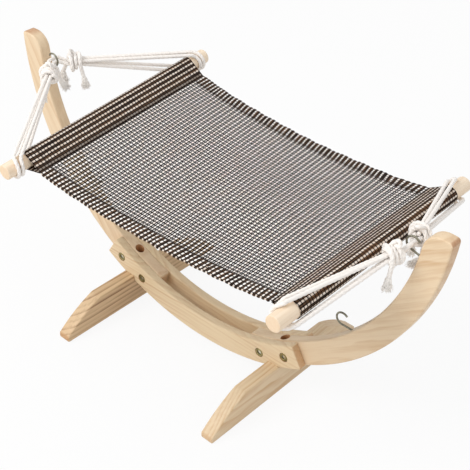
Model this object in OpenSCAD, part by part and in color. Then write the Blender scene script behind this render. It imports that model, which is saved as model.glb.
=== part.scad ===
// Cat hammock: a bow of pine planks on two cross feet, and a woven sling
// whose two bars hang from screw hooks at the bow's tips on cotton rope.
// Millimetres. X runs along the bow, Y across it, Z up, the floor is Z = 0.

/* [Bow] */
// Radius of the bow's upper edge
bow_r = 324; // [300:1:360]
// Width of the bow's planks along the radius
bow_w = 35; // [31:0.5:42]
// Gap between the floor and the bow's lowest point
bow_lift_h = 14.5; // [6:0.5:18]
// Angle from straight down to the end of each arm
tip_angle = 87; // [82:0.5:90]
// Radius of the tip's inner corner
tip_inner_r = 24; // [15:0.5:26]
// Radius of the tip's outer corner
tip_outer_r = 5; // [2:0.5:5]
// Thickness of each arm
arm_t = 18; // [15:0.5:22]
// Thickness of each rail
rail_t = 13; // [11:0.5:18]
// Length along the bow from the inner rail bolt to the arm's end
arm_end_len = 23.5; // [14:0.5:28]
// Length along the bow from the outer rail bolt to the rail's end
rail_end_len = 23; // [14:1:30]

/* [Feet] */
// Distance of each foot from the middle of the bow
foot_x = 138.5; // [115:0.5:160]
// Thickness of each foot
foot_t = 20; // [16:0.5:26]
// Length of each foot
foot_len = 302; // [260:1:360]
// Depth to which the bow sinks into a foot, at the foot's middle
foot_lap_h = 5; // [4.5:0.5:8]
// Height of a foot's square end
foot_end_h = 8.5; // [5:0.5:14]
// Length of the round from a foot's top to its square end
foot_round_len = 64; // [45:1:80]
// Radius of the round of a foot's end
foot_round_r = 200; // [120:1:300]

/* [Fasteners] */
// Thread diameter of the bolts
bolt_d = 6; // [5:0.5:7]
// Diameter of a bolt's or a sleeve nut's head
bolt_head_d = 12.5; // [11:0.5:14]
// Thickness of a rail bolt's head
bolt_head_h = 3; // [2:0.5:4]
// Width across the flats of the hexagon socket
bolt_socket_w = 4; // [3:0.5:5]
// Depth of the hexagon socket in a rail bolt
bolt_socket_h = 2; // [1:0.25:2.5]
// Outer diameter of a sleeve nut's barrel
sleeve_d = 8.4; // [8:0.1:9.5]
// Length along the bow from the foot bolt in to the inner rail bolt
inner_bolt_arc_len = 27.5; // [22:0.5:36]
// Length along the bow from the foot bolt out to the outer rail bolt
outer_bolt_arc_len = 17.5; // [15:0.5:24]
// Diameter of a foot bolt's head
foot_head_d = 10; // [9:0.5:12]
// Height of a foot bolt's head
foot_head_h = 5; // [4:0.5:6]
// Depth of the foot bolt's counterbore below the arm's upper face
foot_bore_h = 16; // [12:0.5:18]
// Outer diameter of the threaded insert in a foot
insert_d = 9; // [8.5:0.5:11]
// Length of the threaded insert
insert_h = 13; // [8:0.5:14]

/* [Hooks] */
// Diameter of the hook wire
wire_d = 2.6; // [2:0.1:3.4]
// Radius of a hook's eye at the middle of the wire
eye_r = 9; // [8.5:0.25:12]
// Length of bare shank between the wood and the eye
hook_shank_len = 15.5; // [13:0.5:22]
// Length of the screw inside the wood
hook_screw_len = 18; // [12:0.5:22]
// Length along the arm's upper face from its tip to the upper hook
upper_hook_arc_len = 44.5; // [38:0.5:70]
// Length along the arm's upper face from its tip to the lower hook
lower_hook_arc_len = 221.5; // [160:0.5:230]

/* [Sling] */
// Diameter of the sling's bars
bar_d = 21; // [18:0.5:25]
// Length of bare bar beyond the cloth at each end
bar_free_len = 33; // [28:1:45]
// Width of the cloth along the bars
panel_w = 304; // [240:1:330]
// Thickness of the woven cloth
cloth_t = 1.4; // [1:0.1:2]
// Drop of the cloth's middle below the bars
panel_sag_h = 19; // [8:1:40]
// Length from a bar's middle to the seam that closes its pocket
seam_len = 30; // [26:1:45]
// Width of the hem folded under each long edge
hem_w = 18; // [12:1:30]
// Inward bow of each long edge at mid length
edge_draw_w = 2.5; // [0:0.5:8]

/* [Ropes] */
// Diameter of the cotton rope
rope_d = 5; // [4:0.25:5.5]
// Length along X from the left hook to the left bar
left_rope_len = 115; // [85:1:135]
// Drop from the left hook to the left bar
left_rope_h = 33; // [20:0.5:50]
// Length along X from the right hook to the right bar
right_rope_len = 44.5; // [42:0.5:90]
// Drop from the right hook to the right bar
right_rope_h = 30; // [25:0.5:60]
// Tilt of the left bar, far end up
left_bar_angle = 5; // [-6:0.5:6]
// Length from the hook to the middle of each knot
knot_place_len = 28; // [26:1:34]
// Turns of rope in each knot
knot_turns = 2.5; // [1.5:1:2.5]
// Length of the rope tails that hang from a knot
tail_len = 26; // [14:1:34]

/* [Hidden] */
$fn = 96;

// Colours
pine = [0.89, 0.79, 0.63];
pine_bar = [0.93, 0.85, 0.74];
zinc = [0.72, 0.69, 0.60];
weave = [0.33, 0.29, 0.27];
cotton = [0.93, 0.90, 0.86];

// Clearances, and the overrun of every cut
cut_len = 2;
seat_gap = 0.2;
bolt_gap = 0.3;
thread_gap = 0.1;
bar_gap = 0.3;
lay_gap = 0.25;
rope_gap = 0.8;
bearing_gap = 0.6;
turn_gap = 1;
rope_hem_gap = 1.2;

// Bow: the planks lie between two arcs about one centre
bow_outer_r = bow_r + bow_w;
bow_mid_r = bow_r + bow_w / 2;
bow_z = bow_lift_h + bow_outer_r;
bow_half_t = arm_t / 2 + rail_t;
wedge_r = 2 * bow_outer_r;

// Angles along the bow, in degrees from straight down
function arc_deg(run, r) = run / r * 180 / PI;
foot_angle = asin(foot_x / bow_mid_r);
inner_bolt_angle = foot_angle - arc_deg(inner_bolt_arc_len, bow_mid_r);
outer_bolt_angle = foot_angle + arc_deg(outer_bolt_arc_len, bow_mid_r);
arm_end_angle = inner_bolt_angle - arc_deg(arm_end_len, bow_mid_r);
rail_end_angle = outer_bolt_angle + arc_deg(rail_end_len, bow_mid_r);
upper_hook_angle = tip_angle - arc_deg(upper_hook_arc_len, bow_r);
lower_hook_angle = tip_angle - arc_deg(lower_hook_arc_len, bow_r);
rail_bolt_angles = [-outer_bolt_angle, -inner_bolt_angle, inner_bolt_angle, outer_bolt_angle];

// Heights of the bow's faces above a foot, and of the foot
bow_under_z = bow_z - sqrt(pow(bow_outer_r, 2) - pow(foot_x, 2));
bow_upper_z = bow_z - sqrt(pow(bow_r, 2) - pow(foot_x, 2));
foot_h = bow_under_z + foot_lap_h;
foot_fall_h = foot_h - foot_end_h;
foot_flat_half = foot_len / 2 - foot_round_len;
foot_chord_len = norm([foot_round_len, foot_fall_h]);
foot_chord_mid = [foot_flat_half + foot_round_len / 2, foot_h - foot_fall_h / 2];
foot_centre_len = sqrt(pow(foot_round_r, 2) - pow(foot_chord_len / 2, 2));
foot_centre = foot_chord_mid - foot_centre_len / foot_chord_len * [foot_fall_h, foot_round_len];

// Foot bolt: head in the arm, end in the insert, which sits below the notch
foot_head_z = bow_upper_z - foot_bore_h;
insert_edge_x = foot_x - insert_d / 2;
insert_sink_h = 1.5;
insert_top_z = bow_z - sqrt(pow(bow_outer_r, 2) - pow(insert_edge_x, 2)) - insert_sink_h;
insert_floor_z = insert_top_z - insert_h;
foot_counterbore_gap = 1.5;
foot_socket_share = 0.5;

// Screw hooks: rise of the shank above level, and the end of the eye's turn
upper_hook_rise = 15;
lower_hook_rise = 0;
eye_open_angle = 45;
eye_turn = 270 - eye_open_angle;
screw_point_share = 0.25;
screw_tip_share = 0.3;

// A point of the bow's plane at a radius and an angle from straight down
function bow_point(r, a) = [r * sin(a), bow_z - r * cos(a)];
// The middle of a right-hand hook's eye, from where its shank leaves the wood
function eye_centre(a, rise) = bow_point(bow_r, a)
    + hook_shank_len * [-cos(rise), sin(rise)] + eye_r * [sin(rise), cos(rise)];

// Rope passes inside the upper hook's eye: the inner rope bears on the wire
// and the outer rope lies beside it
rope_step = rope_d + rope_gap;
pass_r = eye_r - wire_d / 2 - bearing_gap - rope_d / 2;
pass_angle = 222;
pass_lean = 45;
pass_lag_share = 0.6;
upper_eye = eye_centre(upper_hook_angle, upper_hook_rise);
inner_pass = upper_eye + pass_r * [cos(pass_angle), sin(pass_angle)];
outer_pass = inner_pass + rope_step * [cos(pass_lean), sin(pass_lean)];
hang = (inner_pass + outer_pass) / 2;

// Bars of the sling
bar_r = bar_d / 2;
bar_len = panel_w + 2 * bar_free_len;
bar_chamfer_w = 1.5;
left_bar_x = left_rope_len - hang.x;
left_bar_z = hang.y - left_rope_h;
right_bar_x = hang.x - right_rope_len;
right_bar_z = hang.y - right_rope_h;
span_x = right_bar_x - left_bar_x;

// Cloth: counts of its mesh
pocket_steps = 10;
sheet_steps = 18;
panel_rows = 8;
hem_end_gap = 6;

// Ropes: where each wrap starts on its bar, and how far it reaches out
rope_r = rope_d / 2;
rope_sides = 8;
knot_sides = 6;
knot_rings = 24;
wrap_r = bar_r + bar_gap + rope_r;
hem_clear_r = bar_r + bar_gap + cloth_t + rope_hem_gap + rope_r;
wrap_start_len = panel_w / 2 + rope_hem_gap + 1.5 * rope_r;
wrap_lane_w = 1.32 * rope_d;
wrap_depth_len = 1.6 * rope_d;
wrap_steps = 13;
inner_wrap_angle = 90;
outer_wrap_angle = inner_wrap_angle + 2 * asin(rope_step / 2 / wrap_r);
strand_steps = 5;

// Knots: turns of rope around the four strands of a rope bundle
bundle_half_w = rope_step / 2;
knot_r = bundle_half_w * sqrt(2) + rope_r + rope_gap / 2 + rope_r;
knot_pitch = rope_step;
knot_len = knot_turns * knot_pitch;
knot_end_len = knot_len / 2 + rope_r;
tail_steps = 4;
tail_lean_share = 0.3;

// Vectors
function unit(v) = v / norm(v);
function square_to(v, t) = unit(v - (v * t) * t);
function mix(a, b, share) = a + (b - a) * share;
function flip_x(points) = [for (p = points) [-p.x, p.y, p.z]];
function reversed(list) = [for (i = [len(list) - 1 : -1 : 0]) list[i]];

// Direction of a path at each of its points
function tangents(path) = [
    for (i = [0 : len(path) - 1])
        unit(path[min(i + 1, len(path) - 1)] - path[max(i - 1, 0)])
];

// A side vector carried along a path without twist
function carried_sides(tangent, first) = [
    for (i = 0, side = square_to(first, tangent[0]);
        i < len(tangent);
        i = i + 1, side = square_to(side, tangent[min(i, len(tangent) - 1)]))
        side
];

// Round tube of diameter d along a path
module tube(path, d, sides, first) {
    tangent = tangents(path);
    side = carried_sides(tangent, first);
    last = len(path) - 1;
    points = [
        for (i = [0 : last])
            let (up = cross(tangent[i], side[i]))
                for (k = [0 : sides - 1])
                    path[i] + d / 2 * (cos(360 * k / sides) * side[i] + sin(360 * k / sides) * up)
    ];
    wall = [
        for (i = [0 : last - 1], k = [0 : sides - 1])
            let (a = i * sides + k, b = i * sides + (k + 1) % sides)
                each [[a, a + sides, b + sides], [a, b + sides, b]]
    ];
    first_cap = [for (k = [1 : sides - 2]) [0, k, k + 1]];
    last_cap = [for (k = [1 : sides - 2]) [last * sides, last * sides + k + 1, last * sides + k]];
    polyhedron(points, concat(wall, first_cap, last_cap), convexity = 10);
}

// Cloth slab between two grids of points of the same shape, upper and lower
module slab(upper, lower) {
    rows = len(upper);
    cols = len(upper[0]);
    count = rows * cols;
    points = concat([for (row = upper) each row], [for (row = lower) each row]);
    face = [
        for (i = [0 : rows - 2], j = [0 : cols - 2])
            let (a = i * cols + j, b = a + 1, c = a + cols, d = c + 1)
                each [
                    [a, b, d], [a, d, c],
                    [a + count, d + count, b + count], [a + count, c + count, d + count]
                ]
    ];
    rim = concat(
        [for (j = [0 : cols - 2]) j],
        [for (i = [0 : rows - 2]) i * cols + cols - 1],
        [for (j = [cols - 1 : -1 : 1]) (rows - 1) * cols + j],
        [for (i = [rows - 1 : -1 : 1]) i * cols]
    );
    edge = [
        for (k = [0 : len(rim) - 1])
            let (a = rim[k], b = rim[(k + 1) % len(rim)])
                each [[a, a + count, b + count], [a, b + count, b]]
    ];
    polyhedron(points, concat(face, edge), convexity = 10);
}

// Wedge of the bow's plane between two angles
module wedge(from, to) {
    polygon([
        bow_point(0, 0),
        bow_point(wedge_r, from),
        bow_point(wedge_r, (from + to) / 2),
        bow_point(wedge_r, to)
    ]);
}

// Outline of a stretch of the bow
module bow_outline(from, to) {
    intersection() {
        difference() {
            translate(bow_point(0, 0)) circle(bow_outer_r);
            translate(bow_point(0, 0)) circle(bow_r);
        }
        wedge(from, to);
    }
}

// What is cut from a tip's corner to leave a round of radius r: side is 1 at
// the inner arc and -1 at the outer arc
module tip_corner(arc_r, r, side) {
    centre_r = arc_r + side * r;
    lag = asin(r / centre_r);
    centre = bow_point(centre_r, tip_angle - lag);
    past_tip = cut_len * [cos(tip_angle), sin(tip_angle)];
    clear_r = arc_r - side * cut_len;
    difference() {
        polygon([
            centre,
            bow_point(clear_r, tip_angle - lag),
            bow_point(clear_r, tip_angle) + past_tip,
            bow_point(centre_r * cos(lag), tip_angle) + past_tip
        ]);
        translate(centre) circle(r);
    }
}

// Extrudes an outline of the bow's plane to a thickness, centred on Y = 0
module plank(t) {
    rotate([90, 0, 0]) linear_extrude(t, center = true) children();
}

// Round bar along Y, centred on Y = 0, at a place in the bow's plane
module cross_pin(place, d, len) {
    translate([place.x, 0, place.y]) rotate([90, 0, 0]) cylinder(d = d, h = len, center = true);
}

// Puts a hook's own frame at its place on the right arm: the shank leaves the
// wood along -X of that frame
module at_hook(a, rise) {
    place = bow_point(bow_r, a);
    translate([place.x, 0, place.y]) rotate([0, rise, 0]) children();
}

// Pilot hole of a screw hook
module hook_hole() {
    translate([-cut_len, 0, 0]) rotate([0, 90, 0])
        cylinder(d = wire_d + 2 * thread_gap, h = cut_len + hook_screw_len + thread_gap);
}

// Screw hook in its own frame
module screw_hook() {
    point_len = screw_point_share * hook_screw_len;
    rotate([0, 90, 0]) {
        translate([0, 0, -hook_shank_len])
            cylinder(d = wire_d, h = hook_shank_len + hook_screw_len - point_len);
        translate([0, 0, hook_screw_len - point_len])
            cylinder(d1 = wire_d, d2 = screw_tip_share * wire_d, h = point_len);
    }
    translate([-hook_shank_len, 0, eye_r]) rotate([90, 0, 0]) rotate([0, 0, eye_open_angle])
        rotate_extrude(angle = eye_turn) translate([eye_r, 0]) circle(d = wire_d);
}

// Right arm: a single plank that ends in a rounded tip
module arm() {
    difference() {
        plank(arm_t) difference() {
            bow_outline(arm_end_angle, tip_angle);
            tip_corner(bow_r, tip_inner_r, 1);
            tip_corner(bow_outer_r, tip_outer_r, -1);
        }
        for (a = [inner_bolt_angle, outer_bolt_angle])
            cross_pin(bow_point(bow_mid_r, a), bolt_d + 2 * bolt_gap, arm_t + 2 * cut_len);
        translate([foot_x, 0, 0]) cylinder(d = bolt_d + 2 * bolt_gap, h = bow_upper_z);
        translate([foot_x, 0, foot_head_z])
            cylinder(d = foot_head_d + 2 * foot_counterbore_gap, h = foot_bore_h + bow_w);
        at_hook(upper_hook_angle, upper_hook_rise) hook_hole();
        at_hook(lower_hook_angle, lower_hook_rise) hook_hole();
    }
}

module left_arm() {
    color(pine) mirror([1, 0, 0]) arm();
}

module right_arm() {
    color(pine) arm();
}

// Rail: a curved cheek beside the arms, side is -1 in front and 1 behind, with
// a recess for each head and a hole of diameter d through it
module rail(side, d) {
    difference() {
        translate([0, side * (arm_t + rail_t) / 2, 0])
            plank(rail_t) bow_outline(-rail_end_angle, rail_end_angle);
        for (a = rail_bolt_angles) {
            cross_pin(bow_point(bow_mid_r, a), d + 2 * bolt_gap, 2 * (bow_half_t + cut_len));
            translate([0, side * bow_half_t, 0])
                cross_pin(bow_point(bow_mid_r, a), bolt_head_d + 2 * bolt_gap, 2 * bolt_head_h);
        }
    }
}

module front_rail() {
    color(pine) rail(-1, bolt_d);
}

module rear_rail() {
    color(pine) rail(1, sleeve_d);
}

// Outline of a foot seen along the bow: a flat top that rounds down to a square
// end on both sides
module foot_outline() {
    translate([-foot_flat_half, 0]) square([2 * foot_flat_half, foot_h]);
    for (side = [0, 1]) mirror([side, 0]) intersection() {
        translate([foot_flat_half, 0]) square([foot_round_len, foot_h]);
        translate(foot_centre) circle(foot_round_r);
    }
}

// Right foot: a board on edge, notched for the bow and bored for its insert
module foot() {
    difference() {
        translate([foot_x, 0, 0]) rotate([90, 0, 90]) linear_extrude(foot_t, center = true) foot_outline();
        cross_pin(bow_point(0, 0), 2 * (bow_outer_r + seat_gap), 2 * (bow_half_t + seat_gap));
        translate([foot_x, 0, insert_floor_z]) cylinder(d = insert_d + 2 * seat_gap, h = bow_w);
    }
}

module left_foot() {
    color(pine) mirror([1, 0, 0]) foot();
}

module right_foot() {
    color(pine) foot();
}

// Hexagon socket of depth h sunk from Z = 0
module hex_socket(h) {
    translate([0, 0, -h]) cylinder(d = bolt_socket_w / cos(30), h = h + cut_len, $fn = 6);
}

// Rail bolts: flat heads flush with the front rail
module rail_bolts() {
    color(zinc) for (a = rail_bolt_angles) {
        place = bow_point(bow_mid_r, a);
        translate([place.x, -bow_half_t, place.y]) rotate([90, 0, 0]) difference() {
            union() {
                translate([0, 0, -bolt_head_h]) cylinder(d = bolt_head_d, h = bolt_head_h);
                translate([0, 0, bolt_head_h - 2 * bow_half_t + seat_gap])
                    cylinder(d = bolt_d, h = 2 * (bow_half_t - bolt_head_h) - seat_gap);
            }
            hex_socket(bolt_socket_h);
        }
    }
}

// Sleeve nuts: barrels in the rear rail, heads flush with its back
module rail_nuts() {
    barrel = rail_t - bolt_head_h;
    color(zinc) for (a = rail_bolt_angles) {
        place = bow_point(bow_mid_r, a);
        translate([place.x, bow_half_t, place.y]) rotate([-90, 0, 0]) difference() {
            union() {
                translate([0, 0, -bolt_head_h]) cylinder(d = bolt_head_d, h = bolt_head_h);
                translate([0, 0, -rail_t]) cylinder(d = sleeve_d, h = barrel);
            }
            translate([0, 0, -rail_t - cut_len])
                cylinder(d = bolt_d + 2 * thread_gap, h = barrel + cut_len);
            hex_socket(bolt_socket_h);
        }
    }
}

// Foot bolts: cap heads in the arms' counterbores, ends in the inserts
module foot_bolts() {
    color(zinc) for (side = [-1, 1]) translate([side * foot_x, 0, foot_head_z]) difference() {
        union() {
            cylinder(d = foot_head_d, h = foot_head_h);
            translate([0, 0, insert_floor_z - foot_head_z + seat_gap])
                cylinder(d = bolt_d, h = foot_head_z - insert_floor_z - seat_gap);
        }
        translate([0, 0, foot_head_h]) hex_socket(foot_socket_share * foot_head_h);
    }
}

// Threaded inserts in the feet
module foot_inserts() {
    color(zinc) for (side = [-1, 1]) translate([side * foot_x, 0, insert_floor_z]) difference() {
        cylinder(d = insert_d, h = insert_h);
        translate([0, 0, -cut_len]) cylinder(d = bolt_d + 2 * thread_gap, h = insert_h + 2 * cut_len);
    }
}

module left_upper_hook() {
    color(zinc) mirror([1, 0, 0]) at_hook(upper_hook_angle, upper_hook_rise) screw_hook();
}

module right_upper_hook() {
    color(zinc) at_hook(upper_hook_angle, upper_hook_rise) screw_hook();
}

module left_lower_hook() {
    color(zinc) mirror([1, 0, 0]) at_hook(lower_hook_angle, lower_hook_rise) screw_hook();
}

module right_lower_hook() {
    color(zinc) at_hook(lower_hook_angle, lower_hook_rise) screw_hook();
}

// Bar of the sling along Y, with eased ends
module bar() {
    flat_len = bar_len - 2 * bar_chamfer_w;
    rotate([90, 0, 0]) {
        cylinder(d = bar_d, h = flat_len, center = true);
        for (side = [0, 1]) mirror([0, 0, side]) translate([0, 0, flat_len / 2])
            cylinder(r1 = bar_r, r2 = bar_r - bar_chamfer_w, h = bar_chamfer_w);
    }
}

module left_bar() {
    color(pine_bar) translate([left_bar_x, 0, left_bar_z]) rotate([left_bar_angle, 0, 0]) bar();
}

module right_bar() {
    color(pine_bar) translate([right_bar_x, 0, right_bar_z]) bar();
}

// Middle of each bar at a station y, in the XZ plane
function left_bar_at(y) = [left_bar_x, left_bar_z + y * tan(left_bar_angle)];
function right_bar_at(y) = [right_bar_x, right_bar_z];

// The sagging sheet at a share u of the span
function sheet_at(u, y) = mix(left_bar_at(y), right_bar_at(y), u) - [0, 4 * panel_sag_h * u * (1 - u)];
function half_width(u) = panel_w / 2 - 4 * edge_draw_w * u * (1 - u);
seam_u_share = seam_len / span_x;

// Upward normal of the sheet in the XZ plane
function sheet_slope(u, y) =
    let (run = right_bar_at(y) - left_bar_at(y) - [0, 4 * panel_sag_h * (1 - 2 * u)])
        unit([-run.y, run.x]);

// The pocket around a bar at station y, from its seam's lower layer round the
// bar: way is 1 at the left bar and -1 at the right bar
function pocket(y, way) =
    let (
        u = way > 0 ? seam_u_share : 1 - seam_u_share,
        middle = way > 0 ? left_bar_at(y) : right_bar_at(y),
        seam = sheet_at(u, y),
        reach = seam - middle,
        towards = atan2(reach.y, reach.x),
        mid_r = bar_r + bar_gap + cloth_t / 2,
        spread = acos(mid_r / norm(reach)),
        first = towards - way * spread,
        sweep = 360 - 2 * spread
    )
    concat(
        [seam - (cloth_t + lay_gap) * sheet_slope(u, y)],
        [for (i = [0 : pocket_steps])
            let (a = first - way * sweep * i / pocket_steps)
                middle + mid_r * [cos(a), sin(a)]]
    );

// The whole cloth at a station y, as [X, Z] points, from the left pocket over
// the sheet to the right pocket
function cloth_line(y) = concat(
    pocket(y, 1),
    [for (i = [0 : sheet_steps]) sheet_at(mix(seam_u_share, 1 - seam_u_share, i / sheet_steps), y)],
    reversed(pocket(y, -1))
);

// Left-hand normals of a line of [X, Z] points
function line_normals(line) = [
    for (i = [0 : len(line) - 1])
        let (t = unit(line[min(i + 1, len(line) - 1)] - line[max(i - 1, 0)])) [-t.y, t.x]
];

// The cloth's edge draws in with the share of the span at which a point lies
function cloth_u(x) = min(max((x - left_bar_x) / span_x, 0), 1);

// One side of the cloth, off its middle surface by h
function cloth_side(h) = [
    for (j = [0 : panel_rows])
        let (
            v = 2 * j / panel_rows - 1,
            line = cloth_line(v * panel_w / 2),
            normals = line_normals(line)
        )
        [for (i = [0 : len(line) - 1])
            let (p = line[i] + h * normals[i]) [p.x, v * half_width(cloth_u(line[i].x)), p.y]]
];

module sling_panel() {
    color(weave) slab(cloth_side(cloth_t / 2), cloth_side(-cloth_t / 2));
}

// Hem folded under a long edge, side is -1 in front and 1 behind, off the
// cloth's middle surface by h
function hem_side(side, h) =
    let (
        first_u = seam_u_share + hem_end_gap / span_x,
        inset = [hem_w, 0]
    )
    [for (j = [0, 1])
        [for (i = [0 : sheet_steps])
            let (
                u = mix(first_u, 1 - first_u, i / sheet_steps),
                y = side * (half_width(u) - inset[side > 0 ? j : 1 - j]),
                p = sheet_at(u, y) + h * sheet_slope(u, y)
            )
            [p.x, y, p.y]]
    ];

module hem(side) {
    upper = -cloth_t / 2 - lay_gap;
    slab(hem_side(side, upper), hem_side(side, upper - cloth_t));
}

module front_hem() {
    color(weave) hem(-1);
}

module rear_hem() {
    color(weave) hem(1);
}

// The frame of a bar on the right: its middle, its axis, the direction square
// to it that points at the hook, and the direction square to both, upwards.
// The left bar is handled mirrored, and its points are flipped back.
function bar_frame(x, z, tilt) =
    let (
        middle = [x, 0, z],
        along = [0, cos(tilt), sin(tilt)],
        hook = [hang.x, 0, hang.y],
        towards = square_to(hook - middle, along),
        up = cross(towards, along)
    )
    [middle, along, towards, up.z > 0 ? up : -up];

left_frame = bar_frame(-left_bar_x, left_bar_z, left_bar_angle);
right_frame = bar_frame(right_bar_x, right_bar_z, 0);

// A point given in a bar's frame: c towards the hook, n upwards, s along it
function in_frame(f, c, n, s) = f[0] + c * f[2] + n * f[3] + s * f[1];

// The knot of a bundle at end side (-1 front, 1 rear): its middle, the
// direction from the hook to the bar's end, and the direction square to it
// that separates the two ropes
function knot_frame(f, side) =
    let (
        hook = [hang.x, 0, hang.y],
        target = in_frame(f, 0, 0, side * (wrap_start_len + wrap_lane_w / 2)),
        away = unit(target - hook),
        up = square_to(f[3], away),
        apart = cross(away, up)
    )
    [hook + knot_place_len * away, away, up, apart * f[2] > 0 ? apart : -apart];

// A strand's place in the bundle at distance t from the knot's middle
function strand(k, t, upper, lane) =
    k[0] + t * k[1] + upper * bundle_half_w * k[2] + lane * bundle_half_w * k[3];

// One wrap round a bar's end: half an ellipse on the bar's unrolled surface,
// which starts and ends clear of the cloth
function wrap(f, side, lane) =
    let (
        half = lane > 0 ? outer_wrap_angle : inner_wrap_angle,
        start = wrap_start_len + (lane > 0 ? wrap_lane_w : 0)
    )
    [for (i = [0 : wrap_steps])
        let (
            b = 180 * i / wrap_steps,
            a = 180 - half * cos(b),
            r = mix(wrap_r, hem_clear_r, pow(1 - sin(b), 2)),
            s = side * (start + wrap_depth_len * sin(b))
        )
        in_frame(f, r * cos(a), r * sin(a), s)];

// Half of a rope, from its cut end in the knot, round the bar and back through
// the knot; lane is -1 for the inner rope and 1 for the outer rope
function rope_half(f, side, lane) =
    let (
        k = knot_frame(f, side),
        turn = wrap(f, side, lane),
        upper_out = strand(k, knot_end_len, 1, lane),
        lower_out = strand(k, knot_end_len, -1, lane)
    )
    concat(
        [strand(k, -knot_end_len, 1, lane)],
        [for (i = [0 : strand_steps - 1]) mix(upper_out, turn[0], i / strand_steps)],
        turn,
        [for (i = [strand_steps - 1 : -1 : 0]) mix(lower_out, turn[wrap_steps], i / strand_steps)],
        [strand(k, -knot_end_len, -1, lane)]
    );

// A rope's pass through the hook's eye, straight until it is clear of the wire;
// the outer rope turns later
function hook_pass(lane) =
    let (
        place = lane > 0 ? outer_pass : inner_pass,
        turn_y = wire_d / 2 + rope_r + turn_gap + (lane > 0 ? pass_lag_share * rope_step : 0)
    )
    [for (side = [-1, 0, 1]) [place.x, side * turn_y, place.y]];

// A whole rope: front half, hook, rear half
function rope_path(f, lane) = concat(
    rope_half(f, -1, lane),
    hook_pass(lane),
    reversed(rope_half(f, 1, lane))
);

// Rope of the right-hand form; left ropes are flipped
module rope(path) {
    color(cotton) tube(path, rope_d, rope_sides, [0, 0, 1]);
}

module left_inner_rope() {
    rope(flip_x(rope_path(left_frame, -1)));
}

module left_outer_rope() {
    rope(flip_x(rope_path(left_frame, 1)));
}

module right_inner_rope() {
    rope(rope_path(right_frame, -1));
}

module right_outer_rope() {
    rope(rope_path(right_frame, 1));
}

// Path of a knot: a tail, turns of rope round the bundle, and the other tail
function knot_path(f, side) =
    let (
        k = knot_frame(f, side),
        flat = unit(cross(k[1], [0, 0, 1])),
        up = cross(flat, k[1]),
        rings = knot_turns * knot_rings,
        turns = [for (i = [0 : rings])
            let (a = 360 * i / knot_rings, t = knot_len * (i / rings - 1 / 2))
                k[0] + t * k[1] + knot_r * (cos(a) * flat + sin(a) * up)],
        lean = tail_lean_share * k[1],
        drop = [for (i = [1 : tail_steps]) tail_len * i / tail_steps]
    )
    concat(
        reversed([for (d = drop) turns[0] - d * unit(up + lean)]),
        turns,
        [for (d = drop) turns[rings] - d * unit(up - lean)]
    );

// Least gap between one turn of a path and the next, measured on its points
function coil_gap(path, rings, d) = min([
    for (i = [0 : len(path) - 1 - rings / 2], j = [i + rings / 2 : len(path) - 1])
        norm(path[i] - path[j]) - d
]);

module knot(path) {
    color(cotton) tube(path, rope_d, knot_sides, [0, 1, 0]);
}

module left_front_knot() {
    knot(flip_x(knot_path(left_frame, -1)));
}

module left_rear_knot() {
    knot(flip_x(knot_path(left_frame, 1)));
}

module right_front_knot() {
    knot(knot_path(right_frame, -1));
}

module right_rear_knot() {
    knot(knot_path(right_frame, 1));
}

echo(least_knot_gap = coil_gap(knot_path(right_frame, -1), knot_rings, rope_d));

left_arm();
right_arm();
front_rail();
rear_rail();
left_foot();
right_foot();
rail_bolts();
rail_nuts();
foot_bolts();
foot_inserts();
left_upper_hook();
right_upper_hook();
left_lower_hook();
right_lower_hook();
left_bar();
right_bar();
sling_panel();
front_hem();
rear_hem();
left_inner_rope();
left_outer_rope();
right_inner_rope();
right_outer_rope();
left_front_knot();
left_rear_knot();
right_front_knot();
right_rear_knot();
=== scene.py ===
"""Cat hammock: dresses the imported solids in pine, woven cloth, cotton rope and zinc.

Lengths are metres in the shared frame: X along the bow, Y across it, Z up from
the floor. The sizes are those of the part's source.
"""

import logging
import math
from dataclasses import dataclass, field
from enum import Enum
from typing import Any, Sequence

import bmesh
import bpy
import numpy as np
from mathutils import Matrix


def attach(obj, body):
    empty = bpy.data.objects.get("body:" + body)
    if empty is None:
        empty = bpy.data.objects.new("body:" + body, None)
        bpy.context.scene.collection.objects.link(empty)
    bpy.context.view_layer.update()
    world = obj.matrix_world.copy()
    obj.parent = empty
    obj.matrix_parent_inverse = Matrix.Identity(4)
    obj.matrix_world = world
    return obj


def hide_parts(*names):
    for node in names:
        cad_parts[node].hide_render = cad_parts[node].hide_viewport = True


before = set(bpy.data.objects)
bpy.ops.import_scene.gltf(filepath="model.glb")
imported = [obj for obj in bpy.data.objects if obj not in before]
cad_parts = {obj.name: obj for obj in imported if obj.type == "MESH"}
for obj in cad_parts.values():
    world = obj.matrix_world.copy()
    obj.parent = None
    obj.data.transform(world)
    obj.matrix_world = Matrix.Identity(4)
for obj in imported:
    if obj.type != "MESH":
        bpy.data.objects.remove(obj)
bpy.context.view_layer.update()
LOG = logging.getLogger("cat_hammock")
MM = 0.001
FULL_TURN = 2.0 * math.pi
QUARTER_TURN = math.pi / 2
ALONG = np.array([1.0, 0.0, 0.0])
ACROSS = np.array([0.0, 1.0, 0.0])
UP = np.array([0.0, 0.0, 1.0])
# A direction along which no piece lies, to start side vectors from.
ASKEW = np.array([0.31, 0.57, 0.76])
# Angles in degrees past which an edge is shaded sharp.
WOOD_EDGE = 42.0
CLOTH_EDGE = 60.0
METAL_EDGE = 24.0
Colour = tuple[float, float, float, float]
WHITE: Colour = (1.0, 1.0, 1.0, 1.0)
Material = bpy.types.Material
Piece = bpy.types.Object


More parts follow.
